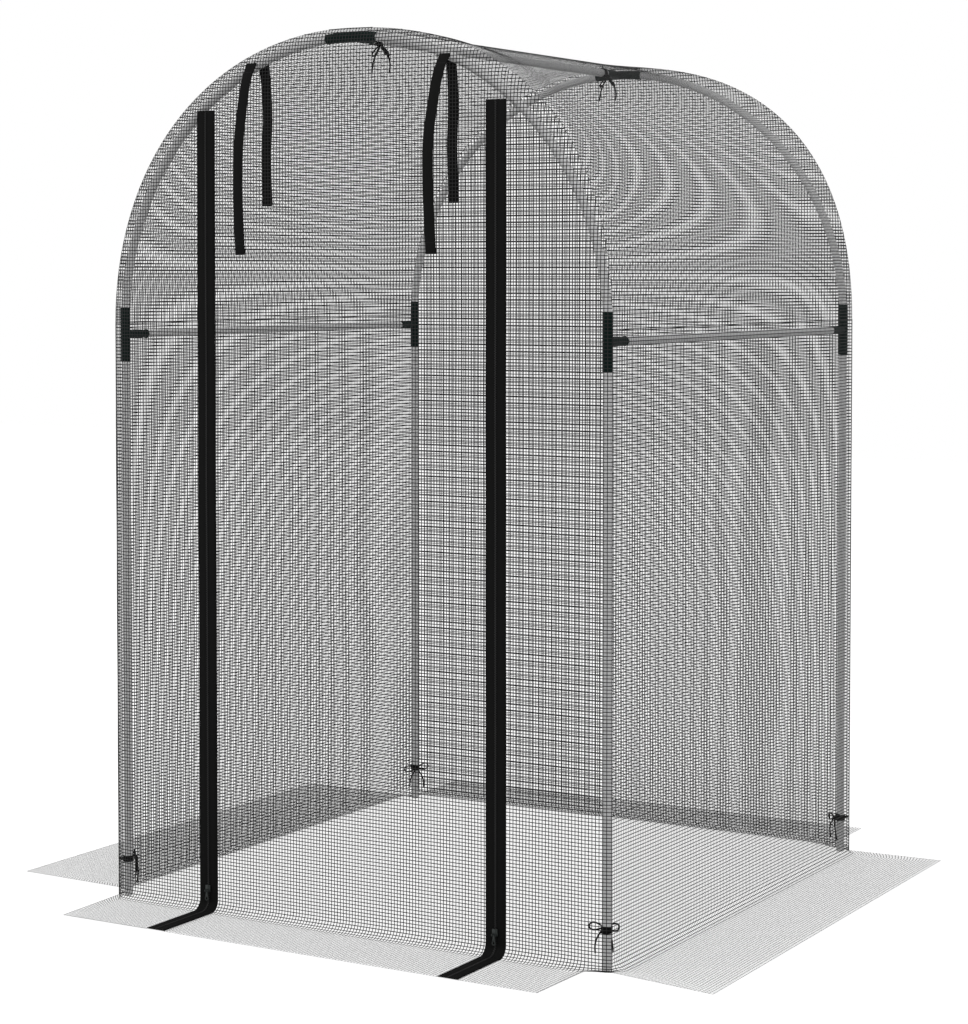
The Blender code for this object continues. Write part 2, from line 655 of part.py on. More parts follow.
def make_ties():
    """Four ties at the foot of the posts, knotted on the inside, and two on the ridge."""
    inward = Vector((1, 0, 0))
    sideways = Vector((0, 1, 0))
    up = Vector((0, 0, 1))
    seam_reach = (SIDE_INNER - HALF - GAP) * math.sqrt(2) - TAB_THICKNESS / 2
    loops = [sideways, -sideways]
    tails = [(math.sin(TAIL_SPREAD) * side - math.cos(TAIL_SPREAD) * up, side) for side in loops]
    corner_tie = tie_mesh("corner_tie", 0, math.pi, seam_reach, loops, tails, TAIL_LENGTH, up)
    for corner, (across, along) in CORNERS.items():
        tie = bpy.data.objects.new("tie_" + corner, corner_tie)
        tie.location = (across * HALF, along * HALF, TIE_HEIGHT)
        tie.rotation_euler = (0, 0, math.atan2(-along, -across))
        add_part(tie, TIE_CORD)
    both = [inward, -inward]
    loops = [math.cos(LOOP_DROOP) * side - math.sin(LOOP_DROOP) * sideways for side in both]
    tails = [(math.sin(TAIL_SPREAD) * side - math.cos(TAIL_SPREAD) * sideways, side) for side in both]
    length = RIDGE_TAIL_LENGTH
    roof_reach = ROOF_STAND - NET_THICKNESS / 2 - GAP
    ridge_tie = tie_mesh("ridge_tie", RIDGE_KNOT_ANGLE, math.pi / 2, roof_reach, loops, tails, length, up)
    for end, along in ENDS:
        tie = bpy.data.objects.new("tie_ridge_" + end, ridge_tie)
        tie.location = (0, along * (HALF - RIDGE_TIE_INSET), SPRING_HEIGHT + HALF)
        tie.rotation_euler = UPRIGHT
        add_part(tie, TIE_CORD)


make_tubes()
make_fittings()
make_net()
make_zips()
make_sliders()
make_straps()
make_ties()
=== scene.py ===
"""The look of an arched fruit cage: netting of real yarns, painted tubes, zips, straps and tied cords.

Lengths are in metres. Places are worked out in cage coordinates, with the middle of the four posts
at zero on the ground, and are moved to the model's own coordinates when a piece is finished.
"""

import math

import bmesh
import bpy
import numpy as np
from mathutils import Matrix, Vector


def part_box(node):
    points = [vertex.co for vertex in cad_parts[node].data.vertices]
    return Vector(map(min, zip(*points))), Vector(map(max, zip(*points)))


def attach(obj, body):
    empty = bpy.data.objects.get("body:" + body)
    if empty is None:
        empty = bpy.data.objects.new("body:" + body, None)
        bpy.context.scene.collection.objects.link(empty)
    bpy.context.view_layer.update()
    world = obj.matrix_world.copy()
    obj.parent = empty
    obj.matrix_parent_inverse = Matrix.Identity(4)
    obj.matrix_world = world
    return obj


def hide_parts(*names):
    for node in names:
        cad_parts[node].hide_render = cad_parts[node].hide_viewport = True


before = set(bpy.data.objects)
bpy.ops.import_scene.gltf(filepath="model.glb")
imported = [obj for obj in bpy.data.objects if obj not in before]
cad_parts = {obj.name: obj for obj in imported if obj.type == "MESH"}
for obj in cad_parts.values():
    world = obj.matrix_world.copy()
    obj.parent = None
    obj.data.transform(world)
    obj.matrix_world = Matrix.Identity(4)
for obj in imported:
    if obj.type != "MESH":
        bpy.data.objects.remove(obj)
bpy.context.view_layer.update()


def middle(node):
    low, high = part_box(node)
    return (low + high) / 2


def extent(node):
    low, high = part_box(node)
    return high - low


# Frame sizes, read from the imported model
CENTRE = (middle("post_front_left") + middle("post_rear_right")) / 2
CENTRE.z = 0
TO_MODEL = Matrix.Translation(CENTRE)
HALF = (middle("post_front_right").x - middle("post_front_left").x) / 2
TUBE_RADIUS = extent("post_front_left").x / 2
RAIL_RADIUS = extent("side_rail_left").x / 2
APEX_HEIGHT = middle("ridge_tube").z
SPRING_HEIGHT = APEX_HEIGHT - HALF
TEE_HEIGHT = middle("side_rail_left").z
ZIP_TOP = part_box("net_door")[1].z
ZIP_SPREAD = (middle("zip_slider_right").x - middle("zip_slider_left").x) / 2
ZIP_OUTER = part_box("zip_right_fixed_half")[1].x - CENTRE.x
ZIP_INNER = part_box("zip_right_door_half")[0].x - CENTRE.x

ENDS = (("front", -1), ("rear", 1))
SIDES = (("left", -1), ("right", 1))
UP = Vector((0, 0, 1))
ACROSS = np.array([1.0, 0, 0])

# Netting
YARN_PITCH_ACROSS = 0.00721     # upright yarn to upright yarn
YARN_PITCH_UP = 0.00712         # cross yarn to cross yarn
YARN_WIDTH = 0.00172
FLAP_YARN_WIDTH = 0.00122
YARN_THICKNESS = 0.00024
YARN_LAYER = 0.0001             # uprights lie this far inside the net's middle, cross yarns outside
ACROSS_PHASE = 0.0043           # where the yarn pattern starts, along X or Y
UP_PHASE = 0.0026               # and up the wall
GUIDE_STEP = 0.06               # how often a yarn's route is sampled on a wall
SIDE_STAND = 0.017              # post centre to the side nets
END_STAND = 0.012               # post centre to the end nets, at the corners
END_BULGE = 0.0116              # how much further out an end net hangs away from its seams
END_ROUNDING = 0.02
NET_FLARE = 0.025               # height and reach of the bend where a wall runs out on to the ground
BEND_LENGTH = NET_FLARE * math.pi / 2   # length of cloth in that bend
FLARE_STEPS = 6
FLARE_FADE = 0.03               # length over which the bend dies out beside a flap's end
FLAP_HEIGHT = 0.0009
RIPPLE = 0.0008                 # how far a wall waves in and out
RIPPLE_LENGTH = 0.43
RIPPLE_RISE = 1.6               # its length up the wall, as a share of that
WAVE_SWAY, WAVE_RATE = 1.7, 3.1     # how far its crests wander, and how fast, up the wall
CROSS_SWAY, CROSS_RATE, CROSS_START = 1.1, 2.3, 0.6     # and across it
NEAR_SEAM = (0.01, 0.025)       # extra samples of a yarn's route beside its ends
FLAP_NEAR_SEAM = (0.015, 0.03)
FLAP_BLEND = 0.05               # height over which a wall comes down to the flap's height
ROOF_TURN_STEPS = 64
ROOF_FADE_TURN = math.radians(35)   # the sag dies out within this turn of the walls
RIDGE_SAMPLES = (-3, -2, -1, 1, 2, 3)   # extra samples beside the ridge, in quarters of its sag's turn
ARC_SAMPLES = 2001              # of the roof's arch, to measure its length
ROOF_STAND = 0.017
LEFT_BULGE = 0.008              # extra slack of the net over the shoulders of the hoops
RIGHT_BULGE = 0.028
RIDGE_SAG = 0.013               # how far the roof net falls away on each side of the ridge tube
RIDGE_LIFT = 0.004
RIDGE_SAG_TURN = math.radians(8)
SAG_START = 0.012
SAG_END = 0.22
SIDE_REACH = HALF + SIDE_STAND
END_REACH = HALF + END_STAND

# Tubes and fittings
ROUND_SIDES = 28
SWEPT_SHARP = 40                # degrees from which an edge stays sharp
UNITED_SHARP = 30
HOOP_STEPS = 44
SLEEVE_RADIUS = 0.0104
SLEEVE_ARM = 0.0575             # middle of a side tee to either end of its sleeve
APEX_ARM = 0.06
BRANCH_REACH = 0.07             # sleeve axis to the open end of the branch
RAIL_SLEEVE_RADIUS = 0.0099
CHAMFER = 0.0007
BRANCH_ROUNDING = 0.0035
BRANCH_ROUND_DEPTH = 0.0014     # how far the branch's end draws in
BRANCH_INNER = 0.03             # sleeve axis to a middle place on the branch
FITTING_SIDES = 32
APEX_TURNS = 13
WEB = 0.004                     # gap between two tubes inside a sleeve

# Zips
BAND_SOFTENING = 0.4            # how far a band's edges are softened, as a share of its thickness
TAPE_WIDTH = 0.0222             # one half of a zip, with its share of the coil
TAPE_THICKNESS = 0.0012
TAPE_LIFT = 0.0009              # net middle to tape middle
ZIP_TAIL = 0.17
ZIP_GAP = 0.0002                # tape half to tape half
COIL_WIDTH = 0.0042
COIL_HEIGHT = 0.0016
COIL_LENGTH = 0.0021
COIL_PITCH = 0.0023
COIL_SHARES = (0.62, 0.22, 0.3)     # a tooth's width, place out and lift, as shares of the coil's sizes
ZIP_TOP_GAP = 0.0004
ZIP_SAMPLES = (6, 9, 60)        # along the ground, round the bend and up the wall
STITCH_SIZE = (0.0005, 0.0007, 0.0032)
STITCH_PITCH = 0.0046
STITCH_INSET = 0.0022           # edge of a band to its line of stitches

# Straps
STRAP_WIDTH = 0.024
STRAP_THICKNESS = 0.0016
STRAP_HEM = 0.018               # length of the end that is turned back
HEM_GAP = 0.0022                # middle to middle of the two layers of a hem
OUTER_STRAP_PLACES = (-0.2295, 0.234)
OUTER_STRAP_TOP = 1.764
OUTER_STRAP_BULGES = (0.052, 0.066)
OUTER_STRAP_DROP = 0.388
OUTER_STRAP_SHARES = (          # down and out, as shares of the drop and the bulge
    (0, 0), (0.015, 0.12), (0.052, 0.3), (0.098, 0.45), (0.175, 0.62), (0.278, 0.78), (0.38, 0.93),
    (0.485, 1), (0.69, 0.99), (0.845, 0.93), (1, 0.87))
INNER_STRAP_PLACES = (-0.224, 0.224)
INNER_STRAP_TOP = 1.7695
INNER_STRAP_DROP = 0.293
INNER_STRAP_BULGE = 0.0105
INNER_STRAP_SHARES = ((0, 0), (0.1, 0.3), (0.3, 0.8), (0.45, 0.9), (0.62, 0.55), (0.8, 0.7), (1, 0.95))
INNER_STRAP_SLANT = 0.55        # how steeply its top edge is cut
SLANT_REACH = 0.06              # length over which the slant dies out
INNER_STRAP_GAP = 0.0006        # hoop tube to the hem
STRAP_STEPS = 41
STRAP_SMOOTHING = (0.1, 0.2, 0.4, 0.2, 0.1)
STRAP_DRIFT = 0.0009            # how far a strap wanders sideways
STRAP_DRIFT_RATES = (7, 3)      # down a strap, and from strap to strap
FOLD_STEPS = 6
HEM_SEAM_SHARE = 0.4            # strap's middle to the end of a seam, as a share of its width
HEM_SEAM_STEP = 0.006           # seam to seam
HEM_STITCH_PITCH = 0.0039
HEM_STITCH_START = 0.001

# Zip slider and pull
PLATE = ((0.012, 0.003, 0.014), 0.0016, 0.0, 0.0009)        # size, how far its middle lies from the
WAIST = ((0.0066, 0.0022, 0.0112), 0.0032, 0.001, 0.0007)   # slider's back, rise, and rounding
LUG = ((0.0014, 0.0062, 0.0046), 0.005, 0.0, 0.0005)
LUG_SPREAD = 0.0042             # slider's middle to a lug's
PIN_INSET = 0.0021              # pin's centre in from the pull's top and the slider's front
PIN_RADIUS = 0.0009
PIN_SIDES = 12
PULL_NECK = 0.0042
PULL_WIDTH = 0.0088
PULL_LENGTH = 0.0205
PULL_THICKNESS = 0.0013
PULL_SHOULDER = 0.005           # pin down to where the neck ends
PULL_SOFTENING = 0.0002
PULL_STEPS = 32
HOLE_RADII = (0.0021, 0.0026)   # across and down
HOLE_RISE = 0.0048              # pull's end to the middle of its slot
HOLE_STEPS = 20
EYE_RADIUS = 0.0018
EYE_WIRE = 0.0006
EYE_STEPS = 16
PULL_SHARP = 35                 # degrees from which an edge stays sharp

# Ties
TIE_CORD = 0.0034               # thickness of the bows' cord
WRAP_CORD = 0.0022
WRAP_TURNS = 6
KNOT_REACH = 0.0155             # tube centre to knot centre
KNOT_SIZE = 0.0035
KNOT_CORD = 0.0034
KNOT_RINGS = 2.4                # its curve runs 1 to 3 units out; its size is this many of them
KNOT_HEIGHT = 0.8               # share of its width
KNOT_DEPTH = 0.45               # share of its size
KNOT_STEPS = 60
LOOP_STEPS = 32
TAIL_STEPS = 16
WRAP_STEPS = 20                 # to a turn
WRAP_GAP = 0.0002
TAB_SECTION = (0.005, 0.001)
TAB_LENGTH = 0.0088
RIDGE_TAB_LENGTH = 0.007
CORD_SIDES = 10
WRAP_SIDES = 8
LOOP_REACH = 0.0305
LOOP_RISE = 0.0072              # half the width of a loop
LOOP_TILTS = (-0.06, 0.2)
TAIL_LENGTH = 0.052
TAIL_SPREAD = math.radians(20)
TAIL_BEND_SHARE = 0.12
TAIL_STAND = 0.003              # how far a tail stands off in its middle
TIE_HEIGHT = 0.079
RIDGE_KNOT_ANGLE = math.radians(-33)
LOOP_DROOP = math.radians(52)
RIDGE_TAIL_LENGTH = 0.062
RIDGE_TIE_INSET = 0.085

# Camera of the photograph, fitted to the frame
IMAGE_HEIGHT = 1024
CAMERA_PLACE = Vector((2.8116, -4.8291, 1.3412))
CAMERA_TILT = math.radians(87.638)
CAMERA_TURN = math.radians(30.515)
FOCAL_PIXELS = 2524.65
HORIZON_PIXEL = 374.83          # image row of the optical axis
SENSOR = 0.036

# Floor
FLOOR_SIZE = 24.0
FLOOR_DROP = 0.0005
FLOOR_GLOW = 0.65
WORLD_LEVEL = 0.85              # surround as a light; to the eye it is 1
LAMPS = (("key", Vector((3.0, -3.2, 4.2)), 3.0, 105.0),      # place, size and power
         ("fill", Vector((-3.6, -2.4, 2.6)), 3.5, 45.0))
LAMP_TARGET = Vector((0, 0, 0.9))


class Value:
    """A shader value that takes part in Python sums; each sum adds a Math node."""

    def __init__(self, finish, socket):
        self.finish = finish
        self.socket = socket

    def sum(self, operation, first, second):
        return self.finish.node("ShaderNodeMath", {"operation": operation}, {0: first, 1: second})

    def __add__(self, other):
        return self.sum("ADD", self, other)

    def __radd__(self, other):
        return self.sum("ADD", other, self)

    def __rsub__(self, other):
        return self.sum("SUBTRACT", other, self)

    def __mul__(self, other):
        return self.sum("MULTIPLY", self, other)

    def __pow__(self, other):
        return self.sum("POWER", self, other)

    def above(self, other):
        return self.sum("MAXIMUM", self, other)


class Finish:
    """One material: its Principled shader and the one method that adds nodes in front of it."""

    def __init__(self, name, colour, roughness, metallic=0.0, **plain):
        self.material = bpy.data.materials.new(name)
        self.material.use_nodes = True
        self.tree = self.material.node_tree
        self.shader = self.tree.nodes["Principled BSDF"]
        self.set(self.shader.inputs["Base Color"], (*colour, 1.0))
        self.set(self.shader.inputs["Roughness"], roughness)
        self.set(self.shader.inputs["Metallic"], metallic)
        for label, value in plain.items():
            self.shader.inputs[label.replace("_", " ")].default_value = value
        self.material.diffuse_color = (*colour, 1.0)

    def set(self, socket, value):
        if isinstance(value, Value):
            self.tree.links.new(value.socket, socket)
        else:
            socket.default_value = value

    def node(self, kind, settings=None, values=None, output=0):
        made = self.tree.nodes.new(kind)
        for label, value in (settings or {}).items():
            setattr(made, label, value)
        for label, value in (values or {}).items():
            self.set(made.inputs[label], value)
        return Value(self, made.outputs[output])

    def coordinates(self, kind="Object"):
        return self.node("ShaderNodeTexCoord", output=kind)

    def noise(self, vector, size, detail):
        return self.node("ShaderNodeTexNoise", {}, {
            "Vector": vector, "Scale": 1 / size, "Detail": detail, "Roughness": 0.5})

    def wave(self, vector, size, direction):
        settings = {"wave_type": "BANDS", "bands_direction": direction, "wave_profile": "SIN"}
        values = {"Vector": vector, "Scale": math.tau / 20 / size, "Distortion": 0.0, "Detail": 0.0}
        return self.node("ShaderNodeTexWave", settings, values, output="Fac")

    def between(self, low, high, factor):
        """A colour between two, by a value from 0 to 1."""
        return self.node("ShaderNodeMix", {"data_type": "RGBA"}, {
            "Factor": factor, 6: (*low, 1.0), 7: (*high, 1.0)}, output=2)

    def colour(self, value):
        self.set(self.shader.inputs["Base Color"], value)

    def roughness(self, value):
        self.set(self.shader.inputs["Roughness"], value)

    def bump(self, height, distance, strength):
        bumped = self.node("ShaderNodeBump", {}, {
            "Height": height, "Distance": distance, "Strength": strength})
        self.set(self.shader.inputs["Normal"], bumped)


def yarn_finish():
    """Black plastic yarn with almost no gloss and a faint lengthwise shade."""
    finish = Finish("black_yarn", (0.02, 0.02, 0.02), 0.6, Specular_IOR_Level=0.1)
    shade = finish.noise(finish.coordinates(), 0.06, 2.0)
    finish.colour(finish.between((0.015, 0.015, 0.0155), (0.027, 0.027, 0.027), shade))
    twist = finish.noise(finish.coordinates(), 0.0012, 1.0)
    finish.roughness(0.45 + twist * 0.3)
    return finish.material


def paint_finish():
    """Satin mid-grey powder coat: fine orange peel, slightly uneven gloss."""
    finish = Finish("grey_powder_coat", (0.62, 0.62, 0.62), 0.42, Specular_IOR_Level=0.35)
    place = finish.coordinates()
    cloud = finish.noise(place, 0.18, 3.0)
    finish.colour(finish.between((0.59, 0.59, 0.595), (0.66, 0.66, 0.66), cloud))
    finish.roughness(0.36 + finish.noise(place, 0.02, 2.0) * 0.16)
    finish.bump(finish.noise(place, 0.0016, 2.0), 0.00012, 0.6)
    return finish.material


def fitting_finish():
    """Very dark green moulded plastic with a fine spark-eroded grain."""
    finish = Finish("dark_green_plastic", (0.003, 0.012, 0.01), 0.45, Specular_IOR_Level=0.08)
    place = finish.coordinates()
    cloud = finish.noise(place, 0.03, 3.0)
    finish.colour(finish.between((0.001, 0.0075, 0.006), (0.003, 0.0125, 0.0105), cloud))
    finish.roughness(0.38 + cloud * 0.2)
    finish.bump(finish.noise(place, 0.0007, 2.0), 0.00008, 0.7)
    return finish.material


def weave_finish(name, dark, light, warp, weft, depth):
    """A tight dark weave that follows the band: ribs along it, finer picks across it, with painted shade in
    its grooves.
    """
    finish = Finish(name, dark, 0.8, Specular_IOR_Level=0.06)
    band = finish.coordinates("UV")
    ribs = finish.wave(band, warp, "X")
    picks = finish.wave(band, weft, "Y")
    height = ribs * (0.55 + picks * 0.45)
    fuzz = finish.noise(finish.coordinates(), 0.004, 3.0)
    # painted shade: the colour follows the weave's relief, darker in the grooves and lighter on the ribs
    finish.colour(finish.between(dark, light, height * (0.5 + fuzz * 0.8)))
    finish.roughness(0.9 - height * 0.2)
    finish.bump(height + fuzz * 0.3, depth, 0.7)
    return finish.material


def metal_finish():
    """Black lacquered die-cast metal, a little worn to a lighter tone."""
    finish = Finish("black_lacquered_metal", (0.03, 0.035, 0.033), 0.35, 0.6)
    place = finish.coordinates()
    wear = finish.noise(place, 0.004, 4.0)
    finish.colour(finish.between((0.02, 0.024, 0.023), (0.06, 0.066, 0.064), wear ** 2.0))
    finish.roughness(0.28 + wear * 0.25)
    finish.bump(finish.noise(place, 0.0008, 2.0), 0.00005, 0.6)
    return finish.material


YARN = yarn_finish()
PAINT = paint_finish()
PLASTIC = fitting_finish()
BLACK = (0.003, 0.003, 0.003)
ZIP_TAPE = weave_finish("black_zip_tape", BLACK, (0.009, 0.009, 0.009), 0.0011, 0.0007, 0.00015)
WEBBING = weave_finish("black_webbing", BLACK, (0.0095, 0.0095, 0.0095), 0.0022, 0.0012, 0.0003)
CORD = weave_finish("black_braided_cord", BLACK, (0.011, 0.011, 0.011), 0.0012, 0.0018, 0.0003)
METAL = metal_finish()


def smoothstep(value):
    held = np.clip(value, 0, 1)
    return held * held * (3 - 2 * held)


def hoop_net_radius(turn):
    """Distance of the net from the hoop's own centre where it lies over a hoop; 0 is +X, pi -X."""
    bulge = np.where(np.cos(turn) > 0, RIGHT_BULGE, LEFT_BULGE)
    return HALF + ROOF_STAND + bulge * np.sin(2 * turn) ** 2


def roof_radius(turn, along):
    """The same for any place along the roof, which sags between the hoops but is lifted on the ridge."""
    from_ridge = np.abs(math.pi / 2 - turn)
    fall = 1 - np.exp(-from_ridge / RIDGE_SAG_TURN)
    fade = smoothstep(np.minimum(turn, math.pi - turn) / ROOF_FADE_TURN)
    reach = smoothstep((END_REACH - np.abs(along) - SAG_START) / (SAG_END - SAG_START))
    return hoop_net_radius(turn) + (RIDGE_LIFT * (1 - fall) - RIDGE_SAG * fall * fade) * reach


def from_edge(across, height):
    """How far in a place on an end wall is from the wall's seams."""
    above = np.maximum(height - SPRING_HEIGHT, 0)
    radius = np.where(above > 0, hoop_net_radius(np.arctan2(above, across)), SIDE_REACH)
    return np.maximum(radius - np.hypot(across, above), 0)


ARCH_TURNS = np.linspace(0, math.pi, 361)
ARCH_X = hoop_net_radius(ARCH_TURNS) * np.cos(ARCH_TURNS)
ARCH_Z = SPRING_HEIGHT + hoop_net_radius(ARCH_TURNS) * np.sin(ARCH_TURNS)


def arch_top(x):
    """Height of the arch's net edge over a place x."""
    return np.interp(-np.asarray(x), -ARCH_X, ARCH_Z)


def arch_side(height, side):
    """How far out the arch's net edge is at a height, on the right (1) or left (-1)."""
    if height <= SPRING_HEIGHT:
        return side * SIDE_REACH
    half = ARCH_X * side >= 0
    order = np.argsort(ARCH_Z[half])
    return float(np.interp(height, ARCH_Z[half][order], ARCH_X[half][order]))


def lines(low, high, phase, pitch, edges=(True, True)):
    """Yarn places between two ends, on one pattern, with an edge yarn where edges says so."""
    first = math.ceil((low + (pitch / 3 if edges[0] else 0.0) - phase) / pitch)
    last = math.floor((high - (pitch / 3 if edges[1] else 0.0) - phase) / pitch)
    places = [phase + pitch * step for step in range(first, last + 1)]
    return [low] * edges[0] + places + [high] * edges[1]


def ripple(across, up):
    """A slight wave of the walls in and out, none at the ground."""
    wave = np.sin(math.tau * across / RIPPLE_LENGTH + WAVE_SWAY * np.sin(WAVE_RATE * up))
    cross = np.sin(math.tau * up / (RIPPLE_RISE * RIPPLE_LENGTH)
                   + CROSS_SWAY * np.sin(CROSS_RATE * across + CROSS_START))
    return RIPPLE * wave * cross * smoothstep(up / RIPPLE_LENGTH)


def cloth_length(height):
    """Length up the cloth from the bend's foot at which a wall reaches a height."""
    return height - NET_FLARE + BEND_LENGTH


class Wall:
    """An upright net that bends out to its flap; across runs along X or Y, up along the cloth."""

    def __init__(self, axis, side, flare_from, flare_to):
        self.axis = axis
        self.side = side
        self.flare_from = flare_from
        self.flare_to = flare_to

    def flare(self, across):
        """How far the bend reaches out: nowhere beyond the flap's ends."""
        return NET_FLARE * (smoothstep((across - self.flare_from) / FLARE_FADE)
                            * smoothstep((self.flare_to - across) / FLARE_FADE))

    def stand(self, across, height):
        """Distance from the middle of the cage to the net."""
        wave = ripple(across, height)
        if self.axis == "x":
            return SIDE_REACH + np.abs(wave)
        inset = from_edge(across, height)
        settled = 1 - np.exp(-inset / END_ROUNDING)
        return END_REACH + (END_BULGE + wave) * settled

    def turned(self, across, reach, level, out, up):
        """Points and normals as arrays of X, Y and Z."""
        zero = np.zeros_like(reach)
        size = np.hypot(out, up)
        out = self.side * out / size
        if self.axis == "y":
            return (np.stack([across, self.side * reach, level], -1),
                    np.stack([zero, out, up / size], -1))
        return (np.stack([self.side * reach, across, level], -1),
                np.stack([out, zero, up / size], -1))

    def place(self, across, up, layer):
        """Points and outward normals for arrays of cloth places."""
        across = np.asarray(across, float)
        turn = np.clip(up / NET_FLARE, 0, math.pi / 2)
        height = np.where(up > BEND_LENGTH, up + NET_FLARE * (1 - math.pi / 2),
                          NET_FLARE * (1 - np.cos(turn)))
        flare = self.flare(across)
        reach = self.stand(across, height) + flare * (1 - np.sin(turn)) + np.maximum(-up, 0)
        tilt_out = NET_FLARE * np.sin(turn) + 1e-6
        tilt_up = np.where(up < 0, NET_FLARE, flare * np.cos(turn))
        size = np.hypot(tilt_out, tilt_up)
        level = FLAP_HEIGHT * np.maximum(0, 1 - height / FLAP_BLEND) + height
        return self.turned(across, reach + layer * tilt_out / size, level + layer * tilt_up / size,
                           tilt_out, tilt_up)


class Flap:
    """Net on the ground; across is a place along the wall's foot, up runs from 0 there to -1 outside."""

    def __init__(self, wall, inner, outer, reach):
        self.wall = wall
        self.inner = inner
        self.outer = outer
        self.reach = reach

    def place(self, across, up, layer):
        across = np.asarray(across, float)
        share = (across - self.inner[0]) / (self.inner[1] - self.inner[0])
        low, high = self.outer
        foot = self.wall.stand(across, np.zeros_like(across)) + self.wall.flare(across)
        end = self.reach[0] + (self.reach[1] - self.reach[0]) * share
        reach = foot + (end - foot) * -up
        along = across + (low + (high - low) * share - across) * -up
        level = np.full_like(reach, FLAP_HEIGHT + layer)
        return self.wall.turned(along, reach, level, np.zeros_like(reach), np.ones_like(reach))


FRONT = Wall("y", -1, -SIDE_REACH, 0.5575)      # each bends out between the ends of its flap
REAR = Wall("y", 1, -SIDE_REACH, 0.5475)
LEFT = Wall("x", -1, -0.555, END_REACH)
RIGHT = Wall("x", 1, -END_REACH, END_REACH)
DOOR_SPAN = (-ZIP_INNER, ZIP_INNER)
FLAPS = (   # wall and body, the ends of the foot and of the outer edge, and how far out those two lie
    ("door", FRONT, "door", DOOR_SPAN, DOOR_SPAN, (0.787, 0.7855)),
    ("front_left", FRONT, "cage", (-SIDE_REACH, -ZIP_OUTER), (-0.588, -ZIP_OUTER), (0.788, 0.787)),
    ("front_right", FRONT, "cage", (ZIP_OUTER, 0.5475), (ZIP_OUTER, 0.541), (0.7855, 0.784)),
    ("rear", REAR, "cage", (-SIDE_REACH, 0.5375), (-SIDE_REACH, 0.534), (0.823, 0.823)),
    ("left", LEFT, "cage", (-0.5405, END_REACH), (-0.532, END_REACH), (0.907, 0.907)),
    ("right", RIGHT, "cage", (-END_REACH, END_REACH), (-0.626, 0.603), (0.827, 0.816)))


class Roof:
    """The net over the hoops; across is the turn round the arch, up is the place along Y."""

    def place(self, across, up, layer):
        turn = np.asarray(across, float)
        along = np.asarray(up, float)
        radius = roof_radius(turn, along) + layer
        points = np.stack([radius * np.cos(turn), along + 0 * radius,
                           SPRING_HEIGHT + radius * np.sin(turn)], -1)
        normals = np.stack([np.cos(turn), 0 * turn, np.sin(turn)], -1)
        return points, normals


def stations(low, high, extra=()):
    """Places to sample a yarn's route at, between its two ends."""
    count = max(1, math.ceil((high - low) / GUIDE_STEP))
    places = set(np.linspace(low, high, count + 1))
    places.update(value for value in extra if low < value < high)
    return np.array(sorted(places))


def beside(ends, distances):
    """Places at some distances inside both ends."""
    return [ends[0] + distance for distance in distances] + [ends[1] - distance for distance in distances]


def geometry_tree(name, inputs, nodes, links):
    """A geometry nodes tree from its inputs, its nodes with their settings, and a line for each link."""
    tree = bpy.data.node_groups.new(name, "GeometryNodeTree")
    tree.interface.new_socket("Geometry", in_out="OUTPUT", socket_type="NodeSocketGeometry")
    for label, kind in inputs:
        tree.interface.new_socket(label, in_out="INPUT", socket_type="NodeSocket" + kind)
    made = {"given": tree.nodes.new("NodeGroupInput"), "result": tree.nodes.new("NodeGroupOutput")}
    for label, (kind, settings) in nodes.items():
        node = made[label] = tree.nodes.new(kind)
        for key, value in settings.items():
            if isinstance(key, str) and hasattr(node, key):
                setattr(node, key, value)
            else:
                node.inputs[key].default_value = value
    for line in links.strip().splitlines():
        (start, output), (end, socket) = [place.strip().split(".") for place in line.split(">")]
        tree.links.new(made[start].outputs[output], made[end].inputs[socket])
    return tree


def named_vectors(name):
    return "GeometryNodeInputNamedAttribute", {"data_type": "FLOAT_VECTOR", "Name": name}


YARN_TREE = geometry_tree(      # turns each guide line into a flat closed yarn
    "yarns",
    (("Guides", "Geometry"), ("Yarn Width", "Float"), ("Yarn Thickness", "Float"), ("Finish", "Material")),
    {"route": ("GeometryNodeMeshToCurve", {}),
     "outward": named_vectors("outward"),
     "facing": ("GeometryNodeSetCurveNormal", {"mode": "FREE"}),
     "section": ("GeometryNodeCurvePrimitiveQuadrilateral", {"mode": "KITE"}),
     "half": ("ShaderNodeMath", {"operation": "MULTIPLY", 1: 0.5}),
     "swept": ("GeometryNodeCurveToMesh", {"Fill Caps": True}),
     "plain": ("GeometryNodeRealizeInstances", {}),
     "finished": ("GeometryNodeSetMaterial", {})},
    """
    given.Guides > route.Mesh
    route.Curve > facing.Curve
    outward.Attribute > facing.Normal
    given.Yarn Thickness > section.Width
    given.Yarn Width > half.Value
    half.Value > section.Bottom Height
    half.Value > section.Top Height
    facing.Curve > swept.Curve
    section.Curve > swept.Profile Curve
    swept.Mesh > plain.Geometry
    plain.Geometry > finished.Geometry
    given.Finish > finished.Material
    finished.Geometry > result.Geometry
    """)
BLOCK_TREE = geometry_tree(     # sets a small block on each guide point, along the band and square to it
    "blocks",
    (("Guides", "Geometry"), ("Block Size", "Vector"), ("Finish", "Material")),
    {"block": ("GeometryNodeMeshCube", {}),
     "placed": ("GeometryNodeInstanceOnPoints", {}),
     "plain": ("GeometryNodeRealizeInstances", {}),
     "finished": ("GeometryNodeSetMaterial", {}),
     "outward": named_vectors("outward"),
     "faced": ("FunctionNodeAlignRotationToVector", {"axis": "Y"}),
     "lengthwise": named_vectors("lengthwise"),
     "turned": ("FunctionNodeAlignRotationToVector", {"axis": "Z", "pivot_axis": "Y"})},
    """
    outward.Attribute > faced.Vector
    faced.Rotation > turned.Rotation
    lengthwise.Attribute > turned.Vector
    given.Block Size > block.Size
    given.Guides > placed.Points
    block.Mesh > placed.Instance
    turned.Rotation > placed.Rotation
    placed.Instances > plain.Geometry
    plain.Geometry > finished.Geometry
    given.Finish > finished.Material
    finished.Geometry > result.Geometry
    """)


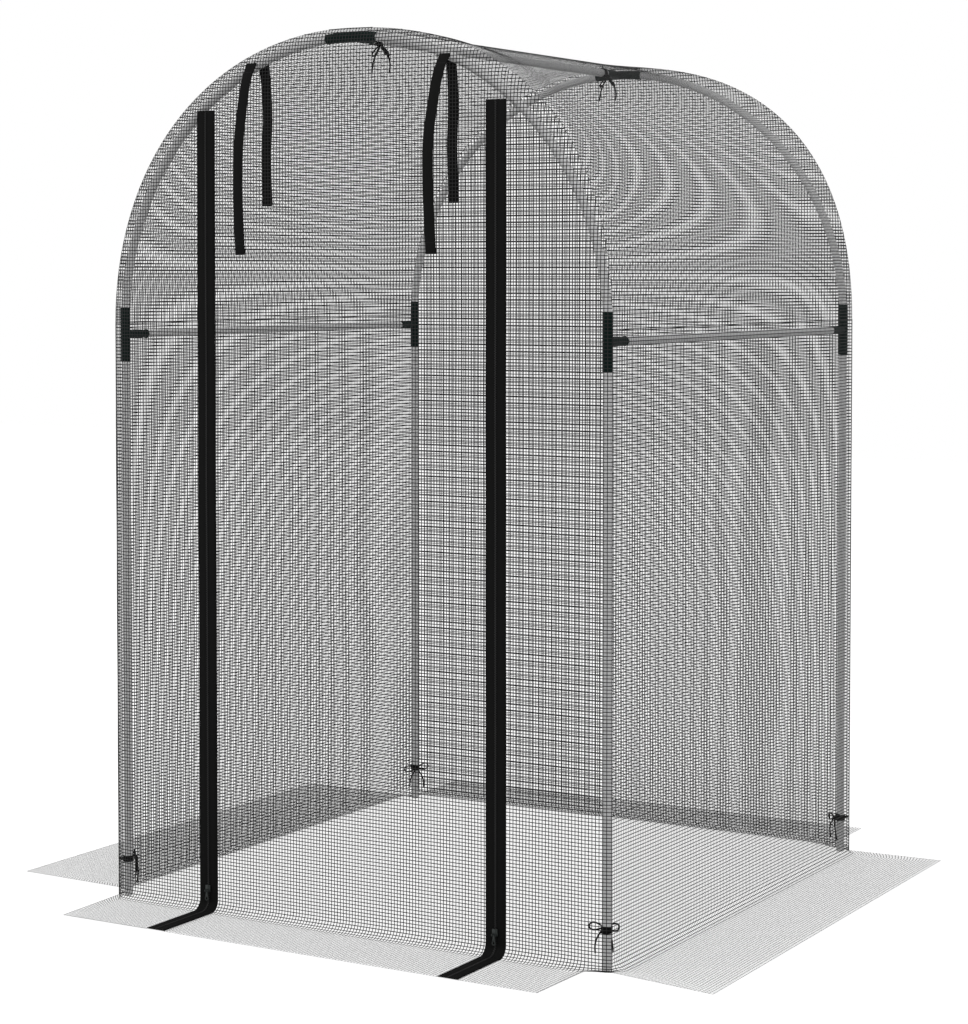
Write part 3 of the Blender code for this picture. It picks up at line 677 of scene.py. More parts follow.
def add_object(name, data):
    """A new object in the scene."""
    made = bpy.data.objects.new(name, data)
    bpy.context.scene.collection.objects.link(made)
    return made


def evaluated(name, holders):
    """The plain mesh of the first object with its modifiers, once the objects are gone."""
    depsgraph = bpy.context.evaluated_depsgraph_get()
    mesh = bpy.data.meshes.new_from_object(holders[0].evaluated_get(depsgraph))
    for holder in holders:
        bpy.data.objects.remove(holder)
    mesh.name = name
    return mesh


def mesh_of(name, shape):
    """The mesh of a bmesh, which is then freed."""
    mesh = bpy.data.meshes.new(name)
    shape.to_mesh(mesh)
    shape.free()
    return mesh


def shaded(mesh, degrees):
    """Shade a mesh smooth, except at edges that turn by more than an angle."""
    mesh.shade_smooth()
    mesh.set_sharp_from_angle(angle=math.radians(degrees))
    return mesh


def run_along(points):
    """Distance from a route's start to each of its points."""
    return np.concatenate([[0], np.cumsum(np.linalg.norm(np.diff(points, axis=0), axis=1))])


def read_along(places, run, values):
    """Vectors given at the points of a route, at other distances along it."""
    return np.stack([np.interp(places, run, values[:, axis]) for axis in range(3)], -1)


def set_vectors(mesh, label, vectors):
    """Keep one vector for each point of a mesh."""
    kept = mesh.attributes.new(label, "FLOAT_VECTOR", "POINT")
    kept.data.foreach_set("vector", np.asarray(vectors, np.float32).ravel())


def through_tree(name, guides, tree, values):
    """The plain mesh that a geometry nodes tree makes of a guide mesh."""
    holder = add_object(name, guides)
    modifier = holder.modifiers.new("shape", "NODES")
    modifier.node_group = tree
    for socket in tree.interface.items_tree:
        if socket.in_out == "INPUT" and socket.name in values:
            modifier[socket.identifier] = values[socket.name]
    return evaluated(name, [holder])


def guide_mesh(name, surface, threads):
    """One polyline for each thread, which is two arrays of cloth places and a layer."""
    points, outward, edges = [], [], []
    for across, up, layer in threads:
        route, normals = surface.place(across, up, layer)
        start = len(points)
        points.extend(route)
        outward.extend(normals)
        edges.extend((start + step, start + step + 1) for step in range(len(route) - 1))
    mesh = bpy.data.meshes.new(name)
    mesh.from_pydata([tuple(point) for point in points], edges, [])
    set_vectors(mesh, "outward", outward)
    return mesh


def finish_piece(name, mesh, body, nodes, material=None):
    """Move a mesh from cage to model coordinates and hand it to its body."""
    mesh.transform(TO_MODEL)
    if material is not None:
        mesh.materials.clear()
        mesh.materials.append(material)
    piece = add_object(name, mesh)
    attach(piece, body)
    if nodes:
        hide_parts(*nodes)
    return piece


def net_piece(name, surface, threads, body, node, flat, width=YARN_WIDTH):
    """A panel of netting. The area of its yarns, half of their whole surface, is summed but not kept."""
    mesh = through_tree(name, guide_mesh(name + "_guides", surface, threads), YARN_TREE, {
        "Yarn Width": width, "Yarn Thickness": YARN_THICKNESS, "Finish": YARN})
    piece = finish_piece(name, mesh, body, [node])
    sum(face.area for face in mesh.polygons) / 2


def wall_threads(left, right, low, high, top=None, sides=None):
    """Threads of a wall panel; top gives an upright's end by place, sides a cross yarn's ends by height."""
    flare = [BEND_LENGTH * step / FLARE_STEPS for step in range(FLARE_STEPS + 1)]
    threads = []
    for across in lines(left, right, ACROSS_PHASE, YARN_PITCH_ACROSS):
        end = high if top is None else cloth_length(float(top(across)))
        if end - low > YARN_PITCH_UP:
            near_end = [end - distance for distance in NEAR_SEAM] if top is not None else []
            up = stations(low, end, flare + near_end)
            threads.append((np.full(len(up), across), up, -YARN_LAYER))
    for up in lines(low, high, UP_PHASE, YARN_PITCH_UP, (False, False)):
        ends = (left, right) if sides is None else sides(up)
        if ends[1] - ends[0] > YARN_PITCH_ACROSS:
            across = stations(*ends, beside(ends, NEAR_SEAM))
            threads.append((across, np.full(len(across), up), YARN_LAYER))
    return threads


def arch_sides(left, right):
    """Ends of a cross yarn in an end wall, by its length up the cloth."""
    def ends(up):
        height = up - BEND_LENGTH + NET_FLARE
        return max(left, arch_side(height, -1)), min(right, arch_side(height, 1))
    return ends


def make_end_walls():
    """The front net round the door, the rear net, and the door's own panel."""
    height = float(ARCH_Z.max())
    zip_end = cloth_length(ZIP_TOP)
    for name, surface, left, right, low in (
            ("front_left", FRONT, -SIDE_REACH, -ZIP_OUTER, 0.0),
            ("front_right", FRONT, ZIP_OUTER, SIDE_REACH, 0.0),
            ("front_top", FRONT, -ZIP_OUTER, ZIP_OUTER, zip_end),
            ("rear", REAR, -SIDE_REACH, SIDE_REACH, 0.0)):
        peak = float(arch_top(np.clip(0.0, left, right)))
        threads = wall_threads(left, right, low, cloth_length(peak), arch_top, arch_sides(left, right))
        base = ZIP_TOP if low else 0.0
        net_piece("netting_" + name, surface, threads, "cage", "net_" + name,
                  (right - left, height - base))
    threads = wall_threads(*DOOR_SPAN, 0.0, zip_end)
    net_piece("netting_door", FRONT, threads, "door", "net_door", (2 * ZIP_INNER, ZIP_TOP))


def make_side_walls():
    for surface, place in ((LEFT, "left"), (RIGHT, "right")):
        threads = wall_threads(-END_REACH, END_REACH, 0.0, cloth_length(SPRING_HEIGHT))
        net_piece("netting_" + place, surface, threads, "cage", "net_" + place,
                  (2 * END_REACH, SPRING_HEIGHT))


def make_roof():
    """The net over the hoops: yarns round the arch, and yarns from end to end."""
    threads = []
    near_ridge = math.pi / 2 + RIDGE_SAG_TURN / 4 * np.array(RIDGE_SAMPLES)
    turns = np.array(sorted(set(np.linspace(0, math.pi, ROOF_TURN_STEPS + 1)) | set(near_ridge)))
    for along in lines(-END_REACH, END_REACH, ACROSS_PHASE, YARN_PITCH_ACROSS):
        threads.append((turns, np.full(len(turns), along), -YARN_LAYER))
    fine = np.linspace(0, math.pi, ARC_SAMPLES)
    radius = hoop_net_radius(fine)
    length = run_along(np.stack([radius * np.cos(fine), radius * np.sin(fine)], -1))
    count = round(length[-1] / YARN_PITCH_UP)
    for turn in np.interp(np.linspace(0, length[-1], count + 1), length, fine):
        along = stations(-END_REACH, END_REACH)
        threads.append((np.full(len(along), turn), along, YARN_LAYER))
    net_piece("netting_roof", Roof(), threads, "cage", "net_roof",
              (2 * END_REACH, float(length[-1])))


def make_flaps():
    """The net that runs out over the ground, each flap from its own foot to its own outer edge."""
    for name, wall, body, inner, outer, reach in FLAPS:
        depth = max(reach) - (END_REACH if wall.axis == "y" else SIDE_REACH) - NET_FLARE
        rows = lines(0.0, depth, YARN_PITCH_UP - UP_PHASE, YARN_PITCH_UP, (False, True))
        threads = [(np.full(4, across), np.linspace(-1, 0, 4), -YARN_LAYER)
                   for across in lines(*inner, ACROSS_PHASE, YARN_PITCH_ACROSS)]
        across = stations(*inner, beside(inner, FLAP_NEAR_SEAM))
        threads += [(across, np.full(len(across), -row / depth), YARN_LAYER) for row in reversed(rows)]
        net_piece("netting_flap_" + name, Flap(wall, inner, outer, reach), threads, body, "flap_" + name,
                  (inner[1] - inner[0], depth), FLAP_YARN_WIDTH)


def transport(points):
    """Tangents and steady sideways directions along a route."""
    tangents = np.gradient(points, axis=0)
    tangents /= np.linalg.norm(tangents, axis=1)[:, None]
    normal = np.array([0.0, 0.0, 1.0]) if abs(tangents[0][2]) < 0.9 else np.array([0.0, 1.0, 0.0])
    normals = []
    for tangent in tangents:
        normal = normal - tangent * np.dot(normal, tangent)
        normal = normal / np.linalg.norm(normal)
        normals.append(normal)
    return tangents, np.array(normals)


def sweep_mesh(name, points, outline, across=None):
    """A closed outline carried along a route, with its UV map in metres: round it, and along it.

    outline holds (sideways, out) pairs, the same for all places or one list for each; across
    fixes the sideways direction.
    """
    points = np.asarray(points, float)
    tangents, normals = transport(points)
    if across is not None:
        normals = np.cross(across, tangents)
        normals /= np.linalg.norm(normals, axis=1)[:, None]
    sideways = np.cross(tangents, normals)
    outlines = np.asarray(outline, float)
    if outlines.ndim == 2:
        outlines = np.repeat(outlines[None], len(points), 0)
    sides = outlines.shape[1]
    rings = points[:, None] + outlines[:, :, :1] * sideways[:, None] + outlines[:, :, 1:] * normals[:, None]
    along = run_along(points)
    around = run_along(np.vstack([outlines[0], outlines[0][:1]]))
    faces, places = [], []
    for ring in range(len(points) - 1):
        for side in range(sides):
            after = (side + 1) % sides
            faces.append((ring * sides + side, ring * sides + after,
                          (ring + 1) * sides + after, (ring + 1) * sides + side))
            places += [(around[side], along[ring]), (around[side + 1], along[ring]),
                       (around[side + 1], along[ring + 1]), (around[side], along[ring + 1])]
    last = (len(points) - 1) * sides
    faces.append(tuple(reversed(range(sides))))
    faces.append(tuple(range(last, last + sides)))
    places += [(around[side], 0.0) for side in reversed(range(sides))]
    places += [(around[side], along[-1]) for side in range(sides)]
    mesh = bpy.data.meshes.new(name)
    mesh.from_pydata([tuple(point) for point in rings.reshape(-1, 3)], [], faces)
    chart = mesh.uv_layers.new(name="UVMap")
    chart.data.foreach_set("uv", np.array(places, np.float32).ravel())
    shape = bmesh.new()
    shape.from_mesh(mesh)
    if shape.calc_volume(signed=True) < 0:
        bmesh.ops.reverse_faces(shape, faces=shape.faces)
    shape.to_mesh(mesh)
    shape.free()
    return shaded(mesh, SWEPT_SHARP)


def circle(radius, sides):
    return [(radius * math.cos(math.tau * step / sides), radius * math.sin(math.tau * step / sides))
            for step in range(sides)]


def band_outline(width, thickness):
    """Section of a woven band, with softened edges."""
    half = width / 2
    edge = half - thickness * BAND_SOFTENING
    level = thickness / 2
    soft = level * BAND_SOFTENING
    return [(-half, -soft), (-edge, -level), (0, -level), (edge, -level), (half, -soft),
            (half, soft), (edge, level), (0, level), (-edge, level), (-half, soft)]


def joined(name, meshes, materials):
    """One mesh of several, each with its own material."""
    shape = bmesh.new()
    for index, mesh in enumerate(meshes):
        before = len(shape.faces)
        shape.from_mesh(mesh)
        shape.faces.ensure_lookup_table()
        for face in shape.faces[before:]:
            face.material_index = index
    whole = bpy.data.meshes.new(name)
    for material in materials:
        whole.materials.append(material)
    shape.to_mesh(whole)
    shape.free()
    return whole


def united(name, meshes):
    """The boolean union of closed meshes, shaded smooth between sharp edges."""
    holders = [add_object(name, mesh) for mesh in meshes]
    for other in holders[1:]:
        union = holders[0].modifiers.new("union", "BOOLEAN")
        union.operation = "UNION"
        union.solver = "EXACT"
        union.object = other
    return shaded(evaluated(name, holders), UNITED_SHARP)


def blocks(name, points, outward, size, pitch, start, material):
    """Small blocks at an even pitch along a route, facing outward."""
    run = run_along(points)
    places = np.arange(start, run[-1] - pitch / 2, pitch)
    mesh = bpy.data.meshes.new(name + "_guides")
    mesh.from_pydata([tuple(spot) for spot in read_along(places, run, points)], [], [])
    set_vectors(mesh, "outward", read_along(places, run, outward))
    set_vectors(mesh, "lengthwise", read_along(places, run, np.gradient(points, axis=0)))
    return through_tree(name, mesh, BLOCK_TREE, {"Block Size": size, "Finish": material})


def round_rod(name, points, radius, ends=(), sides=ROUND_SIDES):
    """A rod along a route; ends holds (distance from an end, radius) pairs that shape both ends."""
    points = np.asarray(points, float)
    run = run_along(points)
    shaped = list(ends) or [(0.0, radius)]
    deepest = max(distance for distance, _ in shaped)
    inner = [(place, radius) for place in run[1:-1] if deepest < place < run[-1] - deepest]
    rings = shaped + inner + [(run[-1] - distance, size) for distance, size in reversed(shaped)]
    route = read_along([place for place, _ in rings], run, points)
    return sweep_mesh(name, route, [circle(size, sides) for _, size in rings])


def node_span(node):
    low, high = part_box(node)
    return low - CENTRE, high - CENTRE


def tube_piece(name, node, route, radius):
    """A tube with softened ends in the place of its solid."""
    rod = round_rod(name, route, radius, [(0.0, radius - CHAMFER / 2), (CHAMFER / 2, radius)])
    finish_piece(name, rod, "cage", [node], PAINT)


def make_tubes():
    """Posts, quarter hoops, rails and ridge as smooth round tubes in the places of their solids."""
    turns = np.linspace(0, math.acos(WEB / 2 / HALF), HOOP_STEPS)
    for end, along in ENDS:
        for side, across in SIDES:
            corner = end + "_" + side
            x, y = across * HALF, along * HALF
            top = node_span("post_" + corner)[1].z
            post = [(x, y, 0), (x, y, top / 2), (x, y, top)]
            tube_piece("tube_post_" + corner, "post_" + corner, post, TUBE_RADIUS)
            foot = node_span("hoop_tube_" + corner)[0].z
            arc = [(across * HALF * math.cos(turn), y, SPRING_HEIGHT + HALF * math.sin(turn))
                   for turn in turns]
            tube_piece("tube_hoop_" + corner, "hoop_tube_" + corner, [(x, y, foot)] + arc, TUBE_RADIUS)
    for node, radius in (("side_rail_left", RAIL_RADIUS), ("side_rail_right", RAIL_RADIUS),
                         ("ridge_tube", TUBE_RADIUS)):
        low, high = node_span(node)
        x, z = (low.x + high.x) / 2, (low.z + high.z) / 2
        tube_piece("tube_" + node, node, [(x, low.y, z), (x, 0, z), (x, high.y, z)], radius)


def make_tees():
    """Moulded fittings: a sleeve along the posts or the hoop, and a round-ended branch."""
    chamfered = [(0.0, SLEEVE_RADIUS - CHAMFER), (CHAMFER, SLEEVE_RADIUS)]
    widest = math.asin(APEX_ARM / HALF)
    for end, along in ENDS:
        y = along * HALF
        places = [("side_tee_" + end + "_" + side, across * HALF, TEE_HEIGHT, RAIL_SLEEVE_RADIUS,
                   [(across * HALF, y, TEE_HEIGHT + step) for step in (-SLEEVE_ARM, 0, SLEEVE_ARM)])
                  for side, across in SIDES]
        places.append(("apex_tee_" + end, 0.0, APEX_HEIGHT, SLEEVE_RADIUS,
                       [(HALF * math.sin(turn), y, SPRING_HEIGHT + HALF * math.cos(turn))
                        for turn in np.linspace(-widest, widest, APEX_TURNS)]))
        for node, x, z, radius, route in places:
            rounded = [(BRANCH_ROUNDING * (1 - math.sin(angle)),
                        radius - BRANCH_ROUND_DEPTH * (1 - math.cos(math.pi / 2 - angle)))
                       for angle in [math.pi / 2 * step / 4 for step in reversed(range(5))]]
            branch = [(x, along * (HALF - reach), z) for reach in (BRANCH_REACH, BRANCH_INNER, 0)]
            whole = united("fitting_" + node, [
                round_rod(node + "_sleeve", route, SLEEVE_RADIUS, chamfered, FITTING_SIDES),
                round_rod(node + "_branch", branch, radius, rounded, FITTING_SIDES)])
            finish_piece("fitting_" + node, whole, "cage", [node], PLASTIC)


def make_zips():
    """Each half of a zip: its tape, its share of the coil and a line of stitches near its outer edge."""
    tail = ZIP_TAIL - NET_FLARE + END_STAND
    marks = (-tail, 0, BEND_LENGTH, cloth_length(ZIP_TOP - ZIP_TOP_GAP))
    up = np.array(sorted(set(np.concatenate([np.linspace(low, high, count) for low, high, count
                                             in zip(marks, marks[1:], ZIP_SAMPLES)]))))
    width_share, out_share, lift_share = COIL_SHARES
    tooth = (COIL_WIDTH * width_share, COIL_HEIGHT, COIL_LENGTH)
    for side, across in SIDES:
        for half, way, body in (("door_half", -1, "door"), ("fixed_half", 1, "cage")):
            name = "zip_" + side + "_" + half
            out = across * way
            centre = across * ZIP_SPREAD
            middle_x = centre + out * (TAPE_WIDTH / 2 + ZIP_GAP / 2)
            points, outward = FRONT.place(np.full(len(up), centre), up, TAPE_LIFT)
            tape_line = points + [middle_x - centre, 0, 0]
            tape = sweep_mesh(name, tape_line, band_outline(TAPE_WIDTH, TAPE_THICKNESS), ACROSS)
            face = points + outward * (TAPE_THICKNESS / 2)
            teeth = face + outward * COIL_HEIGHT * lift_share + [out * COIL_WIDTH * out_share, 0, 0]
            coil = blocks(name + "_coil", teeth, outward, tooth, 2 * COIL_PITCH,
                          COIL_PITCH * (1 if way > 0 else 2), YARN)
            seam = blocks(name + "_seam", face + [out * (TAPE_WIDTH - STITCH_INSET), 0, 0], outward,
                          STITCH_SIZE, STITCH_PITCH, STITCH_PITCH, WEBBING)
            mesh = joined(name, [tape, coil, seam], [ZIP_TAPE, YARN, WEBBING])
            piece = finish_piece("tape_" + name, mesh, body, [name])


def rounded_block(name, size, centre, rounding):
    """A block with rounded edges."""
    shape = bmesh.new()
    bmesh.ops.create_cube(shape, size=1.0, matrix=Matrix.Translation(centre) @ Matrix.Diagonal((*size, 1.0)))
    bmesh.ops.bevel(shape, geom=list(shape.edges), offset=rounding, segments=3, profile=0.5, affect="EDGES")
    return mesh_of(name, shape)


def pull_mesh(name, pin):
    """A pull tab with a slot near its lower end, hung on the pin by an eye."""
    outline = []
    for step in range(PULL_STEPS + 1):
        angle = math.pi * (1 - step / PULL_STEPS)
        outline.append((PULL_WIDTH / 2 * math.cos(angle),
                        -PULL_LENGTH + PULL_WIDTH / 2 * (1 - math.sin(angle))))
    neck = PULL_NECK / 2
    outline += [(neck, -PULL_SHOULDER), (neck, 0.0), (-neck, 0.0), (-neck, -PULL_SHOULDER)]
    turns = [math.tau * step / HOLE_STEPS for step in range(HOLE_STEPS)]
    hole = [(HOLE_RADII[0] * math.cos(turn), -PULL_LENGTH + HOLE_RISE - HOLE_RADII[1] * math.sin(turn))
            for turn in turns]
    holders = []
    for line, depth in ((outline, PULL_THICKNESS), (hole, PULL_THICKNESS * 3)):
        shape = bmesh.new()
        face = shape.faces.new([shape.verts.new((x, -depth / 2, z)) for x, z in line])
        moved = bmesh.ops.extrude_face_region(shape, geom=[face])
        bmesh.ops.translate(shape, vec=(0, depth, 0),
                            verts=[item for item in moved["geom"] if isinstance(item, bmesh.types.BMVert)])
        bmesh.ops.recalc_face_normals(shape, faces=shape.faces)
        holders.append(add_object("pull_part", mesh_of("pull_part", shape)))
    hollowed = holders[0].modifiers.new("hole", "BOOLEAN")
    hollowed.operation = "DIFFERENCE"
    hollowed.object = holders[1]
    soft = holders[0].modifiers.new("soft", "BEVEL")
    soft.width = PULL_SOFTENING
    soft.segments = 2
    soft.limit_method = "ANGLE"
    ring = np.array([(0, EYE_RADIUS * math.cos(angle), EYE_RADIUS * math.sin(angle))
                     for angle in np.linspace(0, math.tau, EYE_STEPS + 1)])
    wires = [sweep_mesh("eye", ring + [x, 0, 0], circle(EYE_WIRE, WRAP_SIDES))
             for x in (EYE_WIRE - neck, neck - EYE_WIRE)]
    mesh = joined(name, [evaluated("pull_tab", holders)] + wires, [METAL, METAL, METAL])
    mesh.transform(Matrix.Translation(pin))
    return shaded(mesh, PULL_SHARP)


def make_sliders():
    """Zip sliders with two lugs and a pin, and the pulls that swing on them."""
    for side, _ in SIDES:
        low, high = node_span("zip_slider_" + side)
        x, z = (low.x + high.x) / 2, (low.z + high.z) / 2
        y = low.y + PIN_INSET
        pin_z = node_span("zip_pull_" + side)[1].z - PIN_INSET
        parts = [rounded_block("slider_part", size, (x + step, high.y - stand, height + rise), rounding)
                 for (size, stand, rise, rounding), step, height in (
                     (PLATE, 0, z), (WAIST, 0, z), (LUG, -LUG_SPREAD, pin_z), (LUG, LUG_SPREAD, pin_z))]
        route = [(x + step, y, pin_z) for step in (-LUG_SPREAD, 0, LUG_SPREAD)]
        parts.append(round_rod("pin", route, PIN_RADIUS, sides=PIN_SIDES))
        for body, mesh in (("slider_" + side, united("slider_" + side, parts)),
                           ("pull_" + side, pull_mesh("metal_pull_" + side, (x, y, pin_z)))):
            finish_piece("metal_" + body, mesh, body, ["zip_" + body], METAL)


def turned_end(points, outward):
    """The turned-back end behind the start of a band, from its raw edge round to the start."""
    kept = run_along(points) < STRAP_HEM
    way = points[1] - points[0]
    way /= np.linalg.norm(way)
    back = points[kept] - outward[kept] * HEM_GAP
    centre = points[0] - outward[0] * HEM_GAP / 2
    fold = [centre - HEM_GAP / 2 * (math.cos(angle) * outward[0] + math.sin(angle) * way)
            for angle in np.linspace(0, math.pi, FOLD_STEPS + 1)]
    return list(back[:0:-1]) + fold


def strap_piece(place, side, x, shares, top, drop, base, bulge, direction, slant):
    """A hanging band of webbing with a hem at each end and two lines of stitches across each hem."""
    name = "webbing_" + place + "_" + side
    fine = np.linspace(0, 1, STRAP_STEPS)
    out = np.interp(fine, [down for down, _ in shares], [share for _, share in shares])
    out = np.convolve(np.concatenate([[out[0]] * 2, out, [out[-1]] * 2]), STRAP_SMOOTHING, "valid")
    drift = STRAP_DRIFT * np.sin(STRAP_DRIFT_RATES[0] * fine + STRAP_DRIFT_RATES[1] * x)
    points = np.stack([x + drift, base + direction * bulge * out, top - drop * fine], -1)
    outward = np.cross(np.gradient(points, axis=0), ACROSS)
    outward *= direction * np.sign(outward[:, 1:2]) / np.linalg.norm(outward, axis=1)[:, None]
    upper = turned_end(points, outward)
    lower = turned_end(points[::-1], outward[::-1])
    route = np.array(upper[:-1] + list(points) + lower[-2::-1])
    meshes = [sweep_mesh(name, route, band_outline(STRAP_WIDTH, STRAP_THICKNESS), ACROSS)]
    spread = np.linspace(-HEM_SEAM_SHARE, HEM_SEAM_SHARE, 12) * STRAP_WIDTH
    for ends, facing, way in ((points, outward, 1), (points[::-1], outward[::-1], -1)):
        row = ends[2] + facing[2] * (STRAP_THICKNESS / 2) + np.outer(spread, ACROSS)
        for lift in (0.0, HEM_SEAM_STEP):
            meshes.append(blocks(name + "_seam", row - [0, 0, lift * way], np.tile(facing[2], (len(row), 1)),
                                 STITCH_SIZE, HEM_STITCH_PITCH, HEM_STITCH_START, YARN))
    mesh = joined(name, meshes, [WEBBING] + [YARN] * (len(meshes) - 1))
    if slant:
        for vertex in mesh.vertices:
            share = float(smoothstep((vertex.co.z - top + SLANT_REACH) / SLANT_REACH))
            vertex.co.z -= (slant * (vertex.co.x - x) + abs(slant) * STRAP_WIDTH / 2) * share
    piece = finish_piece(name, mesh, place + "_strap_" + side, ["strap_" + place + "_" + side])


def make_straps():
    """The four straps that hold the rolled door: two in front of it and two behind."""
    inner_base = -HALF + TUBE_RADIUS + STRAP_THICKNESS / 2 + HEM_GAP + INNER_STRAP_GAP
    for index, (side, way) in enumerate(SIDES):
        x = OUTER_STRAP_PLACES[index]
        net = float(FRONT.stand(np.array(x), np.array(OUTER_STRAP_TOP)))
        base = -net - YARN_THICKNESS - HEM_GAP - STRAP_THICKNESS / 2
        strap_piece("outer", side, x, OUTER_STRAP_SHARES, OUTER_STRAP_TOP, OUTER_STRAP_DROP, base,
                    OUTER_STRAP_BULGES[index], -1, 0.0)
        strap_piece("inner", side, INNER_STRAP_PLACES[index], INNER_STRAP_SHARES, INNER_STRAP_TOP,
                    INNER_STRAP_DROP, inner_base, INNER_STRAP_BULGE, 1, INNER_STRAP_SLANT * way)


def cord_piece(name, points):
    """One free stretch of tie cord, on a smooth curve from the knot."""
    points = np.array(points)
    mesh = sweep_mesh(name, points, circle(TIE_CORD / 2, CORD_SIDES))
    piece = finish_piece(name, mesh, "cage", (), CORD)


def make_tie(name, centre, axis, knot_way, tab_way, tab_length, sideways, loops, tail_length):
    """A bow round a tube: a bound wrap with a sewn tab and a knot, two loops and two tails.

    loops holds, for the left loop and the right, the way it reaches and the way it is wide.
    """
    down = -UP
    bound = TUBE_RADIUS + WRAP_CORD / 2 + WRAP_GAP
    across = axis.cross(knot_way)
    half = WRAP_TURNS * WRAP_CORD / 2
    wrap = [centre + (knot_way * math.cos(turn) + across * math.sin(turn)) * bound
            + axis * (half * (turn / (math.pi * WRAP_TURNS) - 1))
            for turn in np.linspace(0, math.tau * WRAP_TURNS, WRAP_STEPS * WRAP_TURNS + 1)]
    knot = centre + knot_way * KNOT_REACH
    lump = []
    for turn in np.linspace(0, math.tau, KNOT_STEPS + 1):
        ring = (2 + math.cos(3 * turn)) * KNOT_SIZE / KNOT_RINGS
        lump.append(knot + sideways * ring * math.cos(2 * turn)
                    + down * ring * KNOT_HEIGHT * math.sin(2 * turn)
                    + knot_way * KNOT_SIZE * KNOT_DEPTH * math.sin(3 * turn))
    tab = [centre + tab_way * (bound + tab_length * share) for share in (0, 0.5, 1)]
    whole = joined(name, [sweep_mesh("wrap", wrap, circle(WRAP_CORD / 2, WRAP_SIDES)),
                          sweep_mesh("lump", lump, circle(KNOT_CORD / 2, WRAP_SIDES)),
                          sweep_mesh("tab", tab, band_outline(*TAB_SECTION), np.array(axis))],
                   [CORD, CORD, WEBBING])
    finish_piece("wrap_" + name, whole, "cage", [name])
    for (label, way), (reach, rise) in zip(SIDES, loops):
        loop = [knot + reach * LOOP_REACH * math.sin(math.pi * share)
                + rise * LOOP_RISE * math.sin(math.tau * share) for share in np.linspace(0, 1, LOOP_STEPS + 1)]
        cord_piece("loop_" + name + "_" + label, loop)
        away = down * math.cos(TAIL_SPREAD) + sideways * way * math.sin(TAIL_SPREAD)
        bend = sideways * way * TAIL_BEND_SHARE * tail_length
        tail = [knot + away * tail_length * share + bend * math.sin(math.pi * share)
                + knot_way * TAIL_STAND * math.sin(math.pi * share)
                for share in np.linspace(0, 1, TAIL_STEPS + 1)]
        cord_piece("tail_" + name + "_" + label, tail)


def make_ties():
    """The bows at the feet of the posts and on the ridge tube."""
    for end, along in ENDS:
        for side, across in SIDES:
            inward = Vector((-across, -along, 0)).normalized()
            sideways = Vector((-inward.y, inward.x, 0))
            loops = [(sideways * way * math.cos(tilt) + UP * math.sin(tilt),
                      UP * math.cos(tilt) - sideways * way * math.sin(tilt))
                     for (_, way), tilt in zip(SIDES, LOOP_TILTS)]
            tab_way = Vector((across * SIDE_STAND, along * END_STAND, 0)).normalized()
            make_tie("tie_" + end + "_" + side, Vector((across * HALF, along * HALF, TIE_HEIGHT)), UP, inward,
                     tab_way, TAB_LENGTH, sideways, loops, TAIL_LENGTH)
        axis = Vector((0, 1, 0))
        knot_way = Vector((math.cos(RIDGE_KNOT_ANGLE), 0, math.sin(RIDGE_KNOT_ANGLE)))
        loops = [(Vector((way * math.cos(LOOP_DROOP), 0, -math.sin(LOOP_DROOP))), axis) for _, way in SIDES]
        make_tie("tie_ridge_" + end, Vector((0, along * (HALF - RIDGE_TIE_INSET), APEX_HEIGHT)), axis,
                 knot_way, UP, RIDGE_TAB_LENGTH, Vector((1, 0, 0)), loops, RIDGE_TAIL_LENGTH)


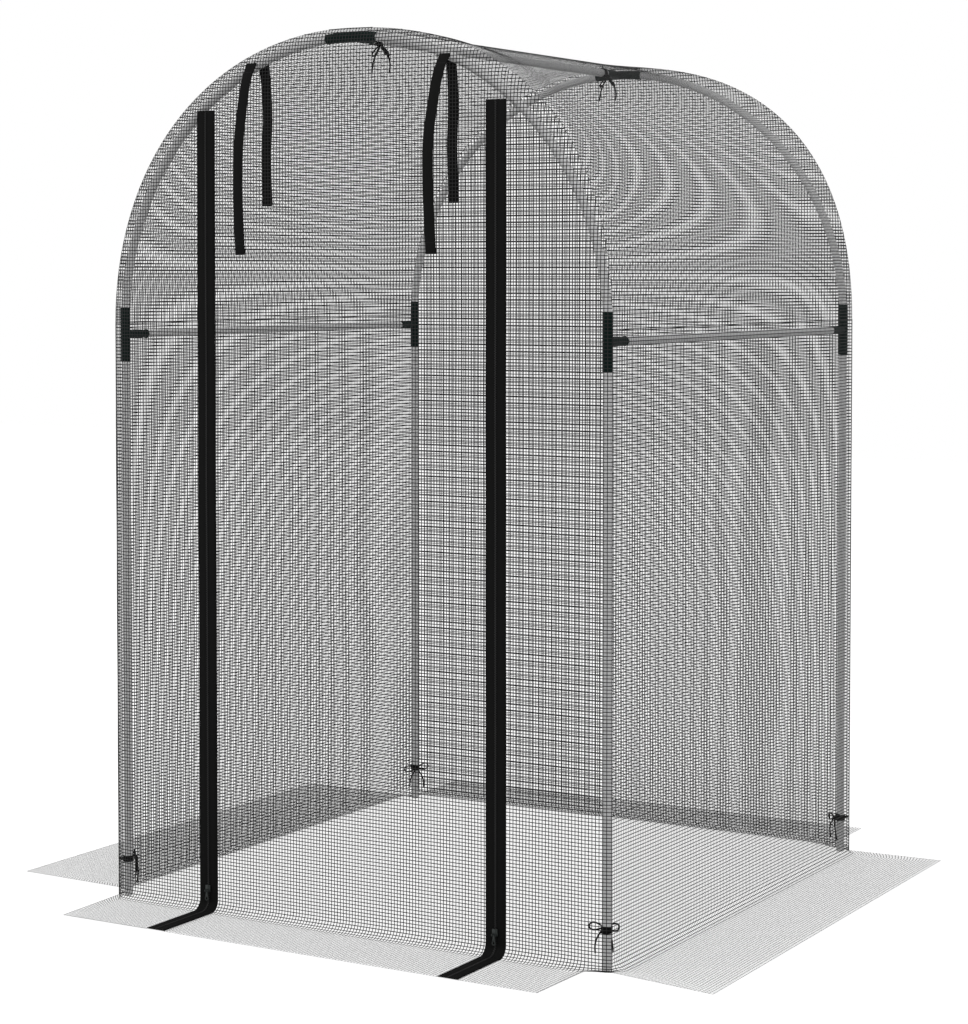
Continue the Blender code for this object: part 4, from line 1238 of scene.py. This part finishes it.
def make_camera():
    """The camera that the photograph was taken with, as fitted."""
    lens = bpy.data.cameras.new("photograph_camera")
    lens.sensor_width = SENSOR * 1000
    lens.lens = FOCAL_PIXELS / IMAGE_HEIGHT * SENSOR * 1000
    lens.shift_y = (HORIZON_PIXEL - IMAGE_HEIGHT / 2) / IMAGE_HEIGHT
    camera = add_object("photograph_camera", lens)
    camera.location = CENTRE + CAMERA_PLACE
    camera.rotation_euler = (CAMERA_TILT, 0, CAMERA_TURN)
    bpy.context.scene.camera = camera


def make_stage():
    """A pale floor that shows white to the eye and keeps the shadow, and a white surround."""
    shape = bmesh.new()
    bmesh.ops.create_grid(shape, x_segments=1, y_segments=1, size=FLOOR_SIZE / 2,
                          matrix=Matrix.Translation((0, 0, -FLOOR_DROP)))
    mesh = mesh_of("floor", shape)
    floor = add_object("floor", mesh)
    finish = Finish("pale_floor", (0.5, 0.5, 0.5), 0.9, Specular_IOR_Level=0.0, Emission_Strength=1.0)
    rays = "ShaderNodeLightPath"
    seen = finish.node(rays, output="Is Camera Ray").above(finish.node(rays, output="Is Glossy Ray"))
    seen = seen.above(finish.node(rays, output="Is Transmission Ray"))
    finish.set(finish.shader.inputs["Emission Color"],
               finish.between((0.0, 0.0, 0.0), (FLOOR_GLOW, FLOOR_GLOW, FLOOR_GLOW), seen))
    mesh.materials.append(finish.material)

    world = bpy.data.worlds.new("studio")
    bpy.context.scene.world = world
    world.use_nodes = True
    tree = world.node_tree
    background = tree.nodes["Background"]
    rays = tree.nodes.new("ShaderNodeLightPath")
    level = tree.nodes.new("ShaderNodeMapRange")
    level.inputs["To Min"].default_value = WORLD_LEVEL
    level.inputs["To Max"].default_value = 1.0
    tree.links.new(rays.outputs["Is Camera Ray"], level.inputs["Value"])
    tree.links.new(level.outputs["Result"], background.inputs["Strength"])
    background.inputs["Color"].default_value = (1.0, 1.0, 1.0, 1.0)
    for name, place, size, power in LAMPS:
        lamp = bpy.data.lights.new(name, "AREA")
        lamp.shape = "SQUARE"
        lamp.size = size
        lamp.energy = power
        lit = add_object(name, lamp)
        lit.location = place
        lit.rotation_euler = (LAMP_TARGET - place).to_track_quat("-Z", "Y").to_euler()
    bpy.context.scene.view_settings.view_transform = "Standard"


make_camera()
make_stage()
make_ties()
make_tubes()
make_tees()
make_zips()
make_sliders()
make_straps()
make_end_walls()
make_side_walls()
make_roof()
make_flaps()
